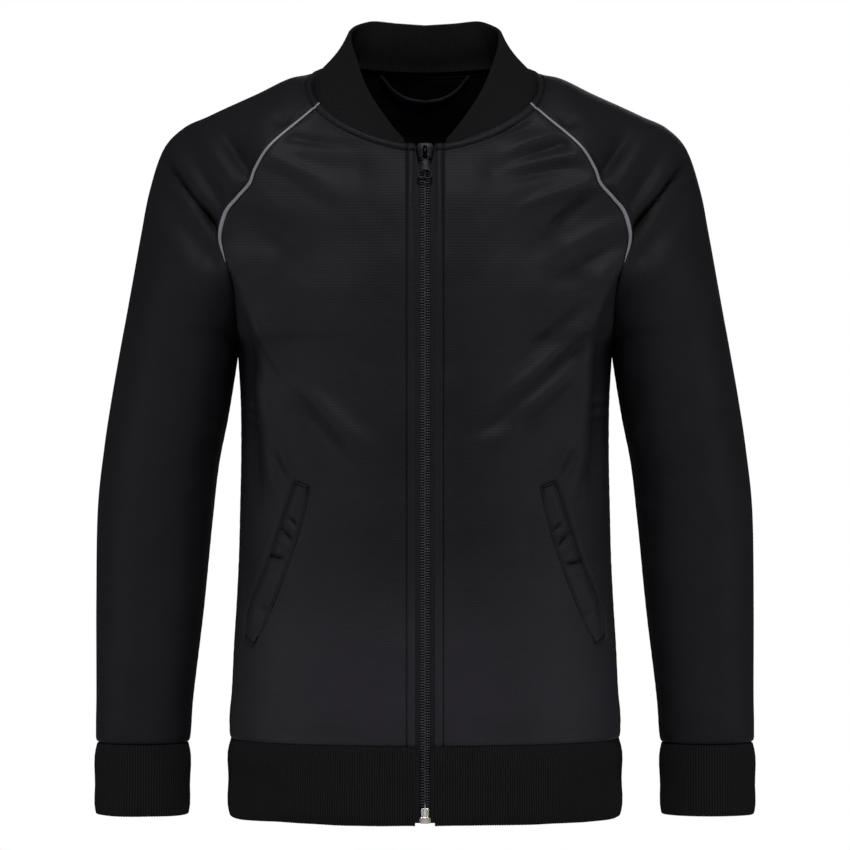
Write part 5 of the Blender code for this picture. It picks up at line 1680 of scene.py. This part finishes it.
def inner_back(x, z):
    """The inner face of the back where it is seen at a place from the front, through the neck."""
    low, high = 0.0, 2.0
    for _ in range(30):
        height = (low + high) / 2
        row = panel_row(height, FINE, False)
        share = float(np.interp(x, row[:, 0], FINE))
        point = panel_row(height, [share], False)[0]
        low, high = (height, high) if point[2] < z else (low, height)
    return point + np.array([0.0, -(SHELL + 0.9 + LOOP_RADIUS), 0.0])


loop_at = curve(arc_shares(np.array(LOOP)), LOOP)
loop_path = np.array([inner_back(x, z) for x, z in loop_at(np.linspace(0, 1, 24))])
loop_path = np.concatenate([loop_path, mirrored(loop_path)[-2::-1]])
loop_ways = unit(np.gradient(loop_path, axis=0))
loop_turns = round_turns(10)
loop_sections = []
for point, way in zip(loop_path, loop_ways):
    level = unit(np.cross(way, np.array([0.0, 1.0, 0.0])))
    deep = np.cross(way, level)
    loop_sections.append(point + LOOP_RADIUS * (np.cos(loop_turns)[:, None] * level
                                                + 0.7 * np.sin(loop_turns)[:, None] * deep))
dress(swept("loop_cord", np.array(loop_sections), zip_tape), "zip_tape", "hanger_loop")


# ---------------------------------------------------------------------------- floor, light and camera
# A plain studio: a pale floor well below the jacket, white surroundings and soft light from the front.

FLOOR_Z = -1.45
CAMERA_Z = -0.3231
FLOOR_REACH = 7.0
CAMERA_AWAY = 4.0
VIEW_WIDTH = 0.765     # what the picture spans at the origin's distance

floor_mesh = bpy.data.meshes.new("studio floor")
floor_corners = box_corners((-FLOOR_REACH, FLOOR_REACH), (-FLOOR_REACH, FLOOR_REACH))
floor_mesh.from_pydata([(x, y, FLOOR_Z) for x, y in floor_corners], [], [(0, 1, 2, 3)])
# A pale matt floor that only lifts the shade under the jacket.
pale, pale_tree, pale_shader = new_material("pale studio floor")
fill(pale_tree, pale_shader, {"Base Color": linear("#f2f2f2"), "Roughness": 0.9})
floor_mesh.materials.append(pale)
floor = linked("studio floor", floor_mesh)

world = bpy.data.worlds.new("white studio")
world.use_nodes = True
world_tree = world.node_tree
world_tree.nodes.clear()
seen = node(world_tree, "ShaderNodeBackground", {"Color": (1.0, 1.0, 1.0, 1.0), "Strength": 1.0})
around = node(world_tree, "ShaderNodeBackground", {"Color": (0.95, 0.97, 1.0, 1.0), "Strength": 0.05})
rays = node(world_tree, "ShaderNodeLightPath")
mixed = node(world_tree, "ShaderNodeMixShader", {0: rays.outputs["Is Camera Ray"], 1: around, 2: seen})
node(world_tree, "ShaderNodeOutputWorld", {"Surface": mixed})
bpy.context.scene.world = world


def soft_light(name, place, width, power):
    """A square soft box that faces the jacket's chest."""
    lamp = bpy.data.lights.new(name, "AREA")
    lamp.size = width
    lamp.energy = power
    light = linked(name, lamp)
    light.location = place
    aim = Vector((0.0, 0.0, CAMERA_Z)) - Vector(place)
    light.rotation_euler = aim.to_track_quat("-Z", "Y").to_euler()


soft_light("broad light from the front", (0.0, -3.6, -1.3), 1.6, 5.0)
soft_light("light from the right", (3.0, -1.25, -0.45), 1.2, 16.0)
soft_light("light from the left", (-3.0, -1.25, -0.45), 1.2, 16.0)
soft_light("light from above", (0.1, -3.0, 3.9), 1.2, 150.0)
soft_light("light from behind", (0.5, 3.8, 0.9), 1.6, 24.0)

lens = bpy.data.cameras.new("camera")
lens.sensor_width = 36.0
lens.lens = 36.0 * CAMERA_AWAY / VIEW_WIDTH
camera = linked("camera", lens)
camera.location = (0.0, -CAMERA_AWAY, CAMERA_Z)
camera.rotation_euler = (math.pi / 2, 0.0, 0.0)
bpy.context.scene.camera = camera
bpy.context.scene.view_settings.view_transform = "Standard"
